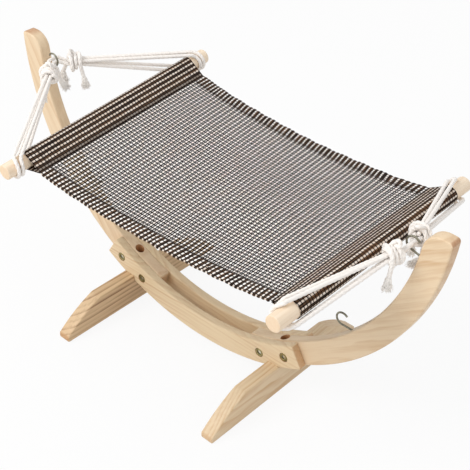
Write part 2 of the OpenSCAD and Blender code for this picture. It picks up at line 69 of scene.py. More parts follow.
def srgb(red: int, green: int, blue: int) -> Colour:
    """A colour from its screen values.

    Args:
        red: Red, 0 to 255.
        green: Green, 0 to 255.
        blue: Blue, 0 to 255.

    Returns:
        The linear colour with alpha 1.
    """
    values = np.array([red, green, blue]) / 255.0
    linear = np.where(values <= 0.04045, values / 12.92, ((values + 0.055) / 1.055) ** 2.4)
    return (float(linear[0]), float(linear[1]), float(linear[2]), 1.0)


def unit(vectors: np.ndarray) -> np.ndarray:
    """Vectors divided by their lengths along the last axis."""
    return vectors / np.linalg.norm(vectors, axis=-1, keepdims=True)


def square_to(vector: np.ndarray, axis: np.ndarray) -> np.ndarray:
    """The unit part of a vector that is square to a unit axis."""
    return unit(vector - np.dot(vector, axis) * axis)


def smooth(low: float, high: float, values: np.ndarray) -> np.ndarray:
    """The cubic step 3t^2 - 2t^3 from 0 at low to 1 at high."""
    t = np.clip((values - low) / (high - low), 0.0, 1.0)
    return t * t * (3.0 - 2.0 * t)


def lengths(path: np.ndarray) -> np.ndarray:
    """The length along a path at each of its points."""
    return np.concatenate([[0.0], np.cumsum(np.linalg.norm(np.diff(path, axis=0), axis=1))])


def circle(count: int) -> np.ndarray:
    """Angles of points spread evenly round a circle."""
    return np.linspace(0.0, FULL_TURN, count, endpoint=False)


def around(angles: np.ndarray, side: np.ndarray, up: np.ndarray) -> np.ndarray:
    """Directions at angles from one unit vector to another: side cos a + up sin a."""
    return np.cos(angles)[..., None] * side + np.sin(angles)[..., None] * up


def upward(slopes: np.ndarray) -> np.ndarray:
    """Directions in X and Z a quarter turn up from slopes that run along X."""
    return np.stack([-slopes[..., 1], slopes[..., 0]], -1)


def at_depth(xz: np.ndarray, y: Any) -> np.ndarray:
    """Points from their X and Z and their Y."""
    return np.stack([xz[..., 0], np.broadcast_to(y, xz.shape[:-1]), xz[..., 1]], -1)


class Named(Enum):
    """A choice whose names are used in the names of pieces."""

    @property
    def word(self) -> str:
        """The name in lower case."""
        return self.name.lower()


class Body(Enum):
    """The rigid bodies of the frame."""

    FRAME = "frame"
    SLING = "sling"


class Side(Named):
    """An end of the bow, with the sign of its X."""

    LEFT = -1
    RIGHT = 1

    def place(self, points: np.ndarray) -> np.ndarray:
        """Points that were worked out for the right end, at this end."""
        return points * np.array([self.value, 1.0, 1.0])


class Edge(Named):
    """A long edge of the sling, with the sign of its Y."""

    FRONT = -1
    REAR = 1


class Sock:
    """A shader socket whose operators add Math nodes."""

    def __init__(self, graph: "Graph", socket: bpy.types.NodeSocket) -> None:
        """Wraps an output socket of a graph."""
        self.graph = graph
        self.socket = socket

    def other(self, output: int | str) -> "Sock":
        """Another output of the same node."""
        return Sock(self.graph, self.socket.node.outputs[output])

    def math(self, operation: str, *others: Any) -> "Sock":
        """This value through a Math node.

        Args:
            operation: The node's operation.
            others: The values or sockets of its other inputs.

        Returns:
            The node's result.
        """
        inputs = {0: self, **dict(enumerate(others, 1))}
        return self.graph.node("ShaderNodeMath", {"operation": operation}, inputs)

    def __add__(self, other: Any) -> "Sock":
        """Sum."""
        return self.math("ADD", other)

    __radd__ = __add__

    def __sub__(self, other: Any) -> "Sock":
        """Difference."""
        return self.math("SUBTRACT", other)

    def __rsub__(self, other: Any) -> "Sock":
        """Difference from a number."""
        return self.graph.node("ShaderNodeMath", {"operation": "SUBTRACT"}, {0: other, 1: self})

    def __mul__(self, other: Any) -> "Sock":
        """Product."""
        return self.math("MULTIPLY", other)

    __rmul__ = __mul__

    def __truediv__(self, other: Any) -> "Sock":
        """Quotient."""
        return self.math("DIVIDE", other)

    def __pow__(self, other: Any) -> "Sock":
        """Power."""
        return self.math("POWER", other)

    def __abs__(self) -> "Sock":
        """Absolute value."""
        return self.math("ABSOLUTE")

    def floor(self) -> "Sock":
        """Whole part."""
        return self.math("FLOOR")

    def fract(self) -> "Sock":
        """Part after the point."""
        return self.math("FRACT")

    def root(self) -> "Sock":
        """Square root."""
        return self.math("SQRT")

    def most(self, other: Any) -> "Sock":
        """The larger of two values."""
        return self.math("MAXIMUM", other)

    def rise(self, low: float, high: float, first: float = 0.0, last: float = 1.0) -> "Sock":
        """A smooth step from a first value at low to a last one at high."""
        inputs = {"Value": self, "From Min": low, "From Max": high, "To Min": first, "To Max": last}
        return self.graph.node("ShaderNodeMapRange", {"interpolation_type": "SMOOTHSTEP"}, inputs)

    def fall(self, low: float, high: float) -> "Sock":
        """A smooth step from 1 at low to 0 at high."""
        return self.rise(low, high, 1.0, 0.0)

    def near(self, target: float, low: float, high: float) -> "Sock":
        """A smooth fall with the distance from a target, from 1 at low to 0 at high."""
        return abs(self - target).fall(low, high)


class Graph:
    """The node tree of one material or world."""

    def __init__(self, owner: Material | bpy.types.World) -> None:
        """Starts an empty tree.

        Args:
            owner: The material or world that the tree belongs to.
        """
        owner.use_nodes = True
        self.owner = owner
        self.tree = owner.node_tree
        self.tree.nodes.clear()

    @classmethod
    def named(cls, name: str) -> "Graph":
        """The tree of a new material."""
        return cls(bpy.data.materials.new(name))

    def node(
        self,
        kind: str,
        settings: dict[str, Any] | None = None,
        inputs: dict[Any, Any] | None = None,
        output: int | str = 0,
    ) -> Sock:
        """Adds a node.

        Args:
            kind: The node's type.
            settings: Its properties, set first.
            inputs: Values or sockets by input name or number.
            output: The output that is wanted.

        Returns:
            That output.
        """
        made = self.tree.nodes.new(kind)
        for key, value in (settings or {}).items():
            setattr(made, key, value)
        for key, value in (inputs or {}).items():
            if isinstance(value, Sock):
                self.tree.links.new(value.socket, made.inputs[key])
            else:
                made.inputs[key].default_value = value
        return Sock(self, made.outputs[output])

    def mix(self, share: Any, first: Any, second: Any) -> Sock:
        """Two colours or their sockets, mixed by the share of the second one."""
        return self.node("ShaderNodeMix", {"data_type": "RGBA"}, {0: share, 6: first, 7: second}, 2)

    def split(self, vector: Sock) -> tuple[Sock, Sock, Sock]:
        """The three parts of a vector."""
        first = self.node("ShaderNodeSeparateXYZ", None, {0: vector})
        return first, first.other(1), first.other(2)

    def join(self, x: Any, y: Any, z: Any) -> Sock:
        """A vector from three values."""
        return self.node("ShaderNodeCombineXYZ", None, {0: x, 1: y, 2: z})

    def noise(self, vector: Sock, scale: float = 1.0, detail: float = 2.0) -> Sock:
        """Fractal noise between 0 and 1."""
        return self.node("ShaderNodeTexNoise", None, {"Vector": vector, "Scale": scale, "Detail": detail})

    def bump(self, height: Sock, strength: float, distance: float) -> Sock:
        """A normal bent by a height."""
        inputs = {"Strength": strength, "Distance": distance, "Height": height}
        return self.node("ShaderNodeBump", None, inputs)

    def close(self, shader: Sock, kind: str = "ShaderNodeOutputMaterial") -> None:
        """Links a shader to the tree's output.

        Args:
            shader: The shader.
            kind: The output node's type.
        """
        output = self.tree.nodes.new(kind)
        self.tree.links.new(shader.socket, output.inputs["Surface"])

    def finish(self, inputs: dict[str, Any]) -> Material:
        """Closes the material with a Principled shader.

        Args:
            inputs: Values or sockets of the shader's inputs.

        Returns:
            The material.
        """
        self.close(self.node("ShaderNodeBsdfPrincipled", None, inputs))
        return self.owner


@dataclass(frozen=True)
class PineFinish:
    """Planed pine: growth rings about a line that lies along the grain.

    The ring coordinate is the distance from that line, bent by slow noise; each
    ring darkens to its late wood and ends more sharply. Faces square to the grain
    show the darker end grain.
    """

    name: str
    turn: tuple[float, float, float]
    pith: tuple[float, float]
    ring: float = 5.4 * MM
    pale: Colour = srgb(232, 208, 171)
    late: Colour = srgb(203, 162, 115)
    ends: Colour = srgb(193, 143, 96)
    contrast: float = 0.55
    wander: float = 15 * MM
    sharp: float = 1.0
    roughness: float = 0.52
    relief: float = 0.25 * MM

    def material(self) -> Material:
        """The finish as a material.

        Returns:
            The material.
        """
        g = Graph.named(self.name)
        place = g.node("ShaderNodeTexCoord", output="Object")

        def turned(vector: Sock) -> tuple[Sock, Sock, Sock]:
            """A vector's parts along the grain and across it."""
            inputs = {"Vector": vector, "Rotation": self.turn}
            return g.split(g.node("ShaderNodeMapping", {"vector_type": "VECTOR"}, inputs))

        along, across, depth = turned(place)
        end = abs(turned(place.other("Normal"))[0]).rise(0.5, 0.98)

        def grain(lengthwise: float, crosswise: float, detail: float) -> Sock:
            """Noise by its waves per metre along the grain and across it."""
            vector = g.join(along * lengthwise, across * crosswise, depth * crosswise)
            return g.noise(vector, 1.0, detail)

        slow = grain(6.0, 17.0, 3.0)
        fibre = grain(45.0, 1300.0, 2.0)
        streak = grain(9.0, 260.0, 3.0)
        broad = grain(8.0, 38.0, 2.0)
        pores = grain(60.0, 420.0, 2.0)
        y = across - self.pith[0]
        z = depth - self.pith[1]
        rings = ((y * y + z * z).root() + slow * self.wander) / self.ring
        growth = rings.fract()
        late = (growth.rise(0.15, 0.86) * growth.fall(0.88, 1.0)) ** self.sharp
        strength = g.noise(g.join(along * 7.0, rings.floor() * 3.7, 0.0), 1.0, 1.0).rise(0.35, 0.75)
        rows = late * (0.2 + 0.8 * strength) * self.contrast
        share = rows + (fibre - 0.5) * 0.5 + (streak - 0.5) * 0.95 + (broad - 0.5) * 0.42
        colour = g.mix(share.most(0.0), self.pale, self.late)
        colour = g.mix(end * (0.45 + 0.5 * pores), colour, self.ends)
        rough = self.roughness + 0.16 * (fibre - 0.5) + 0.06 * late + 0.1 * end
        normal = g.bump(late * 0.4 + fibre * 0.4 + streak * 0.3, 0.25, self.relief)
        return g.finish({"Base Color": colour, "Roughness": rough, "Normal": normal, "Coat Weight": 0.06})


@dataclass(frozen=True)
class ZincFinish:
    """Warm zinc plate with a cloudy surface."""

    name: str = "zinc_plate"
    tint: Colour = srgb(160, 147, 99)
    dull: Colour = srgb(124, 112, 72)
    relief: float = 0.05 * MM

    def material(self) -> Material:
        """The finish as a material.

        Returns:
            The material.
        """
        g = Graph.named(self.name)
        place = g.node("ShaderNodeTexCoord", output="Object")
        cloud = g.noise(place, 420.0, 4.0)
        fine = g.noise(place, 4000.0)
        colour = g.mix(cloud.rise(0.35, 0.75), self.tint, self.dull)
        rough = 0.34 + 0.2 * cloud
        normal = g.bump(fine, 0.12, self.relief)
        return g.finish({"Base Color": colour, "Metallic": 1.0, "Roughness": rough, "Normal": normal})


@dataclass(frozen=True)
class WeaveFinish:
    """Open weave: pale flat wefts with a pair of thin dark ones between, bound by warps.

    The cloth's own map gives its length along and its width across. The warps lie
    over the wefts and break the pale ones into dashes. Single cloth is open between
    the wefts; where two layers lie together the gaps show the brown layer below,
    and a dark row marks the seams and the hems' inner edges.
    """

    name: str
    seams: tuple[float, float]
    hem: float
    weft_pitch: float = 7.0 * MM
    warp_pitch: float = 5.2 * MM
    weft_sway: float = 1.0 * MM
    warp_sway: float = 0.7 * MM
    border: float = 0.3 * MM
    seam_row: float = 2.6 * MM
    relief: float = 0.45 * MM
    pale: Colour = srgb(255, 251, 247)
    cream: Colour = srgb(206, 180, 152)
    dark: Colour = srgb(44, 34, 29)
    brown: Colour = srgb(128, 92, 64)
    warp: Colour = srgb(33, 27, 25)
    under: Colour = srgb(106, 79, 57)

    def material(self) -> Material:
        """The finish as a material; distances from a thread's middle are in millimetres.

        Returns:
            The material.
        """
        g = Graph.named(self.name)
        length, across, _ = g.split(g.node("ShaderNodeUVMap", {"uv_map": "weave"}))
        sway = g.noise(g.join(length * 55.0, across * 70.0, 0.0)) - 0.5
        along = length + sway * self.weft_sway
        row = along / self.weft_pitch + 0.5
        column = (across + sway * self.warp_sway) / self.warp_pitch + 0.5
        from_weft = abs(row.fract() - 0.5) * (self.weft_pitch / MM)
        from_warp = abs(column.fract() - 0.5) * (self.warp_pitch / MM)
        first, last = self.seams
        inside = length.rise(first - self.border, first + self.border)
        inside = inside * length.fall(last - self.border, last + self.border)
        single = inside * abs(across).fall(self.hem - self.border, self.hem + self.border)
        double = 1.0 - single
        band = 1.0 - inside
        swell = from_warp * 0.385
        weft = (from_weft - 0.3 * swell + 0.2 * double).fall(1.1, 1.35)
        over = (from_warp + 0.14 * double + 0.08 * band).fall(0.72, 0.95)
        thin = from_weft.rise(1.4, 1.54) * from_weft.fall(2.88, 3.0)
        cell = {"Vector": g.join(row.floor(), column.floor(), 0.0)}
        cell_seed = g.node("ShaderNodeTexWhiteNoise", {"noise_dimensions": "2D"}, cell)
        half_row = {"W": (along * (2.0 / self.weft_pitch)).floor()}
        row_seed = g.node("ShaderNodeTexWhiteNoise", {"noise_dimensions": "1D"}, half_row)
        hairs = g.noise(g.join(along * 900.0, across * 220.0, 0.0))
        patch = g.noise(g.join(along * 30.0, across * 22.0, 5.0))
        bare = row_seed.rise(0.3, 1.0) * patch.rise(0.35, 0.65) * (0.5 + hairs)
        thread = g.mix(bare * (1.0 - 0.5 * single), self.dark, self.brown)
        ground = g.mix(thin, g.mix(patch.rise(0.3, 0.7), self.under, self.dark), thread)
        ground = g.mix(over, ground, self.warp)
        worn = cell_seed * 0.3 + (hairs - 0.5) * 0.5 + band * 0.4
        dash = g.mix(worn.most(0.0), self.pale, self.cream)
        colour = g.mix(weft * (1.0 - over), ground, dash)
        rows = length.near(first - self.seam_row, 2.2 * MM, 3.2 * MM)
        rows = rows.most(length.near(last + self.seam_row, 2.2 * MM, 3.2 * MM))
        rows = rows.most(abs(across).near(self.hem, 0.9 * MM, 1.6 * MM))
        colour = g.mix(rows * 0.62, colour, self.dark)
        alpha = weft.most(over).most(thin).most(double)
        height = (weft * (0.45 + 0.55 * swell)).most(thin * 0.5).most(over * 0.8)
        normal = g.bump(height + hairs * 0.15, 0.7, self.relief)
        matt = {"Roughness": 0.8, "Specular IOR Level": 0.08}
        return g.finish({"Base Color": colour, **matt, "Alpha": alpha, "Normal": normal})


@dataclass(frozen=True)
class CottonFinish:
    """Undyed cotton: fine fibres that run with the strands' twist."""

    name: str
    pale: Colour = srgb(254, 249, 244)
    shade: Colour = srgb(238, 226, 213)
    fibre_scale: float = 1.0
    relief: float = 0.35 * MM

    def material(self) -> Material:
        """The finish as a material.

        Returns:
            The material.
        """
        g = Graph.named(self.name)
        along, across, _ = g.split(g.node("ShaderNodeUVMap", {"uv_map": "strand"}))
        fibres = g.noise(g.join(along * 260.0, across * 34.0 * self.fibre_scale, 0.0), 1.0, 3.0)
        soil = g.noise(g.join(along * 22.0, across * 2.0, 3.0))
        share = (fibres - 0.4) * 0.95 + (soil - 0.5) * 0.35
        colour = g.mix(share.most(0.0), self.pale, self.shade)
        normal = g.bump(fibres, 0.6, self.relief)
        return g.finish({"Base Color": colour, "Roughness": 0.86, "Normal": normal, "Sheen Weight": 0.25})


@dataclass(frozen=True)
class ThreadFinish:
    """Dark sewing thread with a fine twist."""

    name: str = "sewing_thread"
    dark: Colour = srgb(30, 26, 25)
    light: Colour = srgb(66, 57, 52)

    def material(self) -> Material:
        """The finish as a material.

        Returns:
            The material.
        """
        g = Graph.named(self.name)
        twist = g.noise(g.node("ShaderNodeTexCoord", output="Object"), 2600.0)
        return g.finish({"Base Color": g.mix(twist, self.dark, self.light), "Roughness": 0.7})


def new_piece(name: str, points: np.ndarray, faces: Sequence[Sequence[int]], material: Material) -> Piece:
    """Makes a smooth piece with outward faces.

    Args:
        name: The piece's name.
        points: Its points, X, Y and Z along the last axis.
        faces: The point numbers of each face.
        material: Its material.

    Returns:
        The piece, at the origin.
    """
    mesh = bpy.data.meshes.new(name)
    mesh.from_pydata(points.reshape(-1, 3).tolist(), [], faces)
    shape = bmesh.new()
    shape.from_mesh(mesh)
    bmesh.ops.recalc_face_normals(shape, faces=shape.faces)
    shape.to_mesh(mesh)
    shape.free()
    mesh.polygons.foreach_set("use_smooth", np.ones(len(mesh.polygons), bool))
    mesh.materials.append(material)
    piece = bpy.data.objects.new(name, mesh)
    bpy.context.scene.collection.objects.link(piece)
    return piece


def tube_faces(rings: int, sides: int, count: int = 1) -> list[list[int]]:
    """Faces of closed tubes: quads between successive rings, and a cap at each end.

    Args:
        rings: The rings of each tube.
        sides: The points in each ring.
        count: The number of tubes, whose points follow one another.

    Returns:
        The point numbers of every quad, and then of every cap.
    """
    i, k = np.meshgrid(np.arange(rings - 1), np.arange(sides), indexing="ij")
    a = i * sides + k
    b = i * sides + (k + 1) % sides
    quads = np.stack([a, b, b + sides, a + sides], -1).reshape(-1, 4)
    caps = np.stack([np.arange(sides)[::-1], np.arange(sides) + (rings - 1) * sides])
    first = np.arange(count)[:, None, None] * rings * sides
    return [*(first + quads).reshape(-1, 4).tolist(), *(first + caps).reshape(-1, sides).tolist()]


def sheet_faces(count: int, rows: int) -> list[list[int]]:
    """Faces of a closed sheet: a grid of quads, the same below, and a wall round the rim.

    Args:
        count: The points along the sheet.
        rows: The points across it.

    Returns:
        The point numbers of each face; the lower layer's points follow the upper one's.
    """
    grid = np.arange(count * rows).reshape(count, rows)
    top = np.stack([grid[:-1, :-1], grid[:-1, 1:], grid[1:, 1:], grid[1:, :-1]], -1).reshape(-1, 4)
    rim = np.concatenate([grid[0, :-1], grid[:-1, -1], grid[-1, :0:-1], grid[:0:-1, 0]])
    ahead = np.roll(rim, -1)
    wall = np.stack([rim, rim + grid.size, ahead + grid.size, ahead], -1)
    return np.concatenate([top, top[:, ::-1] + grid.size, wall]).tolist()


def sharpen(piece: Piece, degrees: float) -> None:
    """Marks edges sharp where faces meet at more than an angle."""
    piece.data.set_sharp_from_angle(angle=math.radians(degrees))


def settle(piece: Piece, body: Body, slot: str, *nodes: str) -> Piece:
    """Ties a piece to its body and hides the nodes that it stands for.

    Args:
        piece: The piece.
        body: The body that carries it.
        slot: Not used.
        nodes: The solids that it replaces.

    Returns:
        The piece.
    """
    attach(piece, body.value)
    if nodes:
        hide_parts(*nodes)
    LOG.info("piece %s, %d faces, on %s", piece.name, len(piece.data.polygons), body.value)
    return piece


def set_map(piece: Piece, name: str, values: np.ndarray) -> None:
    """Gives a piece a map with one value for each point.

    Args:
        piece: The piece.
        name: The map's name.
        values: Two numbers for each point.
    """
    mesh = piece.data
    layer = mesh.uv_layers.new(name=name)
    corner = np.empty(len(mesh.loops), np.int32)
    mesh.loops.foreach_get("vertex_index", corner)
    layer.data.foreach_set("uv", values[corner].astype(np.float32).ravel())


def cut_away(piece: Piece, cutters: Sequence[Piece]) -> None:
    """Cuts shapes out of a piece and removes the cutters.

    Args:
        piece: The piece to cut.
        cutters: Closed shapes.
    """
    for cutter in cutters:
        modifier = piece.modifiers.new("cut", "BOOLEAN")
        modifier.operation = "DIFFERENCE"
        modifier.solver = "EXACT"
        modifier.object = cutter
        modifier.material_mode = "TRANSFER"
    bpy.context.view_layer.update()
    depsgraph = bpy.context.evaluated_depsgraph_get()
    result = bpy.data.meshes.new_from_object(piece.evaluated_get(depsgraph))
    piece.modifiers.clear()
    old = piece.data
    name = old.name
    piece.data = result
    bpy.data.meshes.remove(old)
    result.name = name
    for cutter in cutters:
        mesh = cutter.data
        bpy.data.objects.remove(cutter)
        bpy.data.meshes.remove(mesh)


def round_cutter(centre: np.ndarray, axis: np.ndarray, radius: float, depth: float, wall: Material) -> Piece:
    """A closed cylinder used as a cutter.

    Args:
        centre: The middle of the cylinder, where the hole opens.
        axis: Its unit axis.
        radius: Its radius.
        depth: Its length on either side of the middle.
        wall: The material of the hole's wall.

    Returns:
        The cutter.
    """
    sides = 48
    side = square_to(ASKEW, axis)
    ring = centre + radius * around(circle(sides), side, np.cross(axis, side))
    points = np.stack([ring - axis * depth, ring + axis * depth])
    return new_piece("cutter", points, tube_faces(2, sides), wall)


def eased_board(outline: np.ndarray, thickness: float, ease: float) -> tuple[np.ndarray, list[list[int]]]:
    """A board with rounded edges from its closed outline.

    Each ring is the outline moved inwards by ease * (1 - sin a) at the depth
    ease * (1 - cos a) below a face, for a from 0 to 90 degrees, and one more
    ring just inside keeps each face's shading flat.

    Args:
        outline: Points of the closed outline in the board's plane.
        thickness: The board's thickness.
        ease: The radius of its edges.

    Returns:
        Points as (plane a, plane b, depth about the middle), and faces.
    """
    steps = 5
    margin = 0.25 * MM
    following = np.roll(outline, -1, 0)
    behind = unit(outline - np.roll(outline, 1, 0))
    tangent = unit(unit(following - outline) + behind)
    normal = np.stack([tangent[:, 1], -tangent[:, 0]], -1)
    area = 0.5 * np.sum(outline[:, 0] * following[:, 1] - following[:, 0] * outline[:, 1])
    normal = normal if area > 0 else -normal
    a = np.linspace(0.0, QUARTER_TURN, steps)
    inset = np.concatenate([[ease + margin], ease * (1.0 - np.sin(a))])
    depth = np.concatenate([[0.0], ease * (1.0 - np.cos(a))]) - thickness / 2
    inset = np.concatenate([inset, inset[::-1]])
    depth = np.concatenate([depth, -depth[::-1]])
    plane = outline[None] - normal[None] * inset[:, None, None]
    level = np.broadcast_to(depth[:, None, None], plane.shape[:2] + (1,))
    return np.concatenate([plane, level], -1), tube_faces(len(inset), len(outline))


def carried_frames(path: np.ndarray, first: Sequence[float]) -> tuple[np.ndarray, np.ndarray]:
    """Two side vectors carried along a path without twist.

    Args:
        path: Points along the path.
        first: A direction for the first side vector.

    Returns:
        Sides and ups, one row for each point.
    """
    tangent = unit(np.gradient(path, axis=0))
    sides = np.empty_like(path)
    side = square_to(np.asarray(first, float), tangent[0])
    for i, direction in enumerate(tangent):
        side = square_to(side, direction)
        sides[i] = side
    return sides, np.cross(tangent, sides)


def even_path(points: np.ndarray, step: float, soften: float) -> np.ndarray:
    """A route resampled at an even step with its corners rounded.

    The points are spread evenly by length, then averaged with a Gaussian of the
    given spread; the two ends stay.

    Args:
        points: Corner points of the route.
        step: Distance between the new points.
        soften: Spread of the averaging, as a length.

    Returns:
        The new points.
    """
    reach = lengths(points)
    along = np.linspace(0.0, reach[-1], int(round(reach[-1] / step)) + 1)
    path = np.stack([np.interp(along, reach, points[:, k]) for k in range(3)], -1)
    half = int(math.ceil(3.0 * soften / step))
    kernel = np.exp(-0.5 * (np.arange(-half, half + 1) * step / soften) ** 2)
    kernel /= kernel.sum()
    before = 2 * path[0] - path[half:0:-1]
    after = 2 * path[-1] - path[-2 : -half - 2 : -1]
    padded = np.concatenate([before, path, after])
    return np.stack([np.convolve(padded[:, k], kernel, "valid") for k in range(3)], -1)


def twisted_rope(name: str, path: np.ndarray, radius: float, lay: float, material: Material) -> Piece:
    """Three-strand rope along a path.

    The radius at angle a and length s is radius * (0.8 + 0.2 |cos 1.5 (a - 2 pi s / lay)|),
    so three grooves wind round it once in each lay. Its map holds the length and
    the turn in strands.

    Args:
        name: The piece's name.
        path: Evenly spaced points of the centreline.
        radius: The rope's outer radius.
        lay: The length of one full turn of a strand.
        material: Its material.

    Returns:
        The rope.
    """
    sides = 18
    strands = 3
    side, up = carried_frames(path, (0.31, 0.2, 0.93))
    s = lengths(path)[:, None]
    a = circle(sides)[None]
    r = radius * (0.8 + 0.2 * np.abs(np.cos(strands / 2 * a)))
    ring = around(a + FULL_TURN * s / lay, side[:, None], up[:, None])
    piece = new_piece(name, path[:, None] + r[..., None] * ring, tube_faces(len(path), sides), material)
    chart = np.stack(np.broadcast_arrays(s, a / FULL_TURN * strands), -1)
    set_map(piece, "strand", chart.reshape(-1, 2))
    return piece


@dataclass
class Stand:
    """The pine bow: two arms between two rails, on two notched feet."""

    inner_r: float = 324 * MM
    width: float = 35 * MM
    lift: float = 14.5 * MM
    tip: float = math.radians(87)
    tip_inner_r: float = 24 * MM
    tip_outer_r: float = 5 * MM
    arm_t: float = 18 * MM
    rail_t: float = 13 * MM
    foot_x: float = 138.5 * MM
    foot_t: float = 20 * MM
    foot_len: float = 302 * MM
    foot_lap: float = 5 * MM
    foot_end_h: float = 8.5 * MM
    foot_round: float = 64 * MM
    foot_round_r: float = 200 * MM
    inner_bolt: float = 27.5 * MM
    outer_bolt: float = 17.5 * MM
    arm_end: float = 23.5 * MM
    rail_end: float = 23 * MM
    corner_r: float = 2.6 * MM
    ease: float = 2.2 * MM
    seat_gap: float = 0.2 * MM
    recess_r: float = 6.8 * MM
    recess_h: float = 3 * MM
    well_r: float = 6.5 * MM
    well_h: float = 16 * MM
    arc_points: int = 90
    finishes: dict[str, Material] = field(default_factory=dict)

    @property
    def outer_r(self) -> float:
        """Radius of the bow's underside."""
        return self.inner_r + self.width

    @property
    def mid_r(self) -> float:
        """Radius of the planks' middle."""
        return self.inner_r + self.width / 2

    @property
    def centre_z(self) -> float:
        """Height of the bow's centre."""
        return self.lift + self.outer_r

    @property
    def face_y(self) -> float:
        """Distance of a rail's outer face from the bow's middle."""
        return self.arm_t / 2 + self.rail_t

    @property
    def foot_angle(self) -> float:
        """Angle of a foot from straight down."""
        return math.asin(self.foot_x / self.mid_r)

    @property
    def bolt_angles(self) -> np.ndarray:
        """Angles of the inner and outer rail bolts, on the right and then on the left."""
        right = self.foot_angle + np.array([-self.inner_bolt, self.outer_bolt]) / self.mid_r
        return np.concatenate([right, -right])

    @property
    def foot_h(self) -> float:
        """Height of a foot."""
        return self.centre_z - math.sqrt(self.outer_r**2 - self.foot_x**2) + self.foot_lap

    def bow_points(self, r: Any, a: Any) -> np.ndarray:
        """Points (X, Z) of the bow's plane at radii and angles from straight down."""
        r, a = np.broadcast_arrays(np.asarray(r, float), np.asarray(a, float))
        return np.stack([r * np.sin(a), self.centre_z - r * np.cos(a)], -1)

    def corner(self, arc_r: float, r: float, side: int, end: float, way: int) -> np.ndarray:
        """The round of a strip's corner, from its arc to its end line.

        Args:
            arc_r: Radius of the arc.
            r: Radius of the round.
            side: 1 at the inner arc, -1 at the outer arc.
            end: Angle of the end line.
            way: 1 where the angle grows towards the end, -1 where it falls.

        Returns:
            Points from the arc to the end line.
        """
        centre_r = arc_r + side * r
        middle = end - way * math.asin(r / centre_r)
        centre = self.bow_points(centre_r, middle)
        out = -side * np.array([math.sin(middle), -math.cos(middle)])
        past = way * np.array([math.cos(end), math.sin(end)])
        sweep = math.acos(float(np.clip(out @ past, -1.0, 1.0)))
        return centre + r * around(sweep * np.linspace(0.0, 1.0, 9), out, square_to(past, out))

    def strip(self, first: float, last: float, rounds: Sequence[float]) -> np.ndarray:
        """Outline of a stretch of the bow with rounded corners.

        Args:
            first: Angle at which it starts.
            last: Angle at which it ends.
            rounds: Radii at the start's inner and outer and the end's inner and outer corner.

        Returns:
            The closed outline.
        """
        start_in = self.corner(self.inner_r, rounds[0], 1, first, -1)
        start_out = self.corner(self.outer_r, rounds[1], -1, first, -1)
        end_in = self.corner(self.inner_r, rounds[2], 1, last, 1)
        end_out = self.corner(self.outer_r, rounds[3], -1, last, 1)

        def arc(r: float, start: np.ndarray, end: np.ndarray) -> np.ndarray:
            """Points of an arc between two of its points, without those two."""
            a, b = (math.atan2(x, self.centre_z - z) for x, z in (start, end))
            return self.bow_points(r, np.linspace(a, b, self.arc_points)[1:-1])

        inner = arc(self.inner_r, start_in[0], end_in[0])
        outer = arc(self.outer_r, end_out[0], start_out[0])
        return np.concatenate([inner, end_in, end_out[::-1], outer, start_out, start_in[::-1]])

    def board(self, name: str, outline: np.ndarray, y: float, thickness: float) -> Piece:
        """An eased board in the bow's plane.

        Args:
            name: The board's node.
            outline: Its outline in X and Z.
            y: The distance of its middle from the bow's middle.
            thickness: Its thickness.

        Returns:
            The board.
        """
        points, faces = eased_board(outline, thickness, self.ease)
        return new_piece(f"{name}_board", at_depth(points, points[..., 2] + y), faces, self.finishes[name])

    def bored(self, name: str, piece: Piece, cutters: Sequence[Piece]) -> None:
        """Cuts a board's holes and settles it on the frame.

        Args:
            name: The board's node.
            piece: The board.
            cutters: The shapes of its holes.
        """
        cut_away(piece, cutters)
        sharpen(piece, WOOD_EDGE)
        settle(piece, Body.FRAME, "pine", name)

    def arm(self, side: Side) -> None:
        """Builds an arm with its foot bolt's well.

        Args:
            side: The end of the bow.
        """
        name = f"{side.word}_arm"
        start = self.bolt_angles[0] - self.arm_end / self.mid_r
        rounds = (self.corner_r, self.corner_r, self.tip_inner_r, self.tip_outer_r)
        outline = self.strip(start, self.tip, rounds) * np.array([side.value, 1.0])
        piece = self.board(name, outline, 0.0, self.arm_t)
        top = self.centre_z - math.sqrt(self.inner_r**2 - self.foot_x**2)
        mouth = side.place(np.array([self.foot_x, 0.0, top]))
        self.bored(name, piece, [round_cutter(mouth, UP, self.well_r, self.well_h, self.finishes["bore_shaded"])])

    def rail(self, edge: Edge) -> None:
        """Builds a rail with recesses for its bolt or nut heads.

        Args:
            edge: The side of the bow.
        """
        name = f"{edge.word}_rail"
        half = self.bolt_angles[1] + self.rail_end / self.mid_r
        outline = self.strip(-half, half, (self.corner_r,) * 4)
        piece = self.board(name, outline, edge.value * (self.arm_t + self.rail_t) / 2, self.rail_t)
        mouths = at_depth(self.bow_points(self.mid_r, self.bolt_angles), edge.value * self.face_y)
        size = (self.recess_r, self.recess_h)
        self.bored(name, piece, [round_cutter(p, ACROSS, *size, self.finishes["bore_shaded"]) for p in mouths])

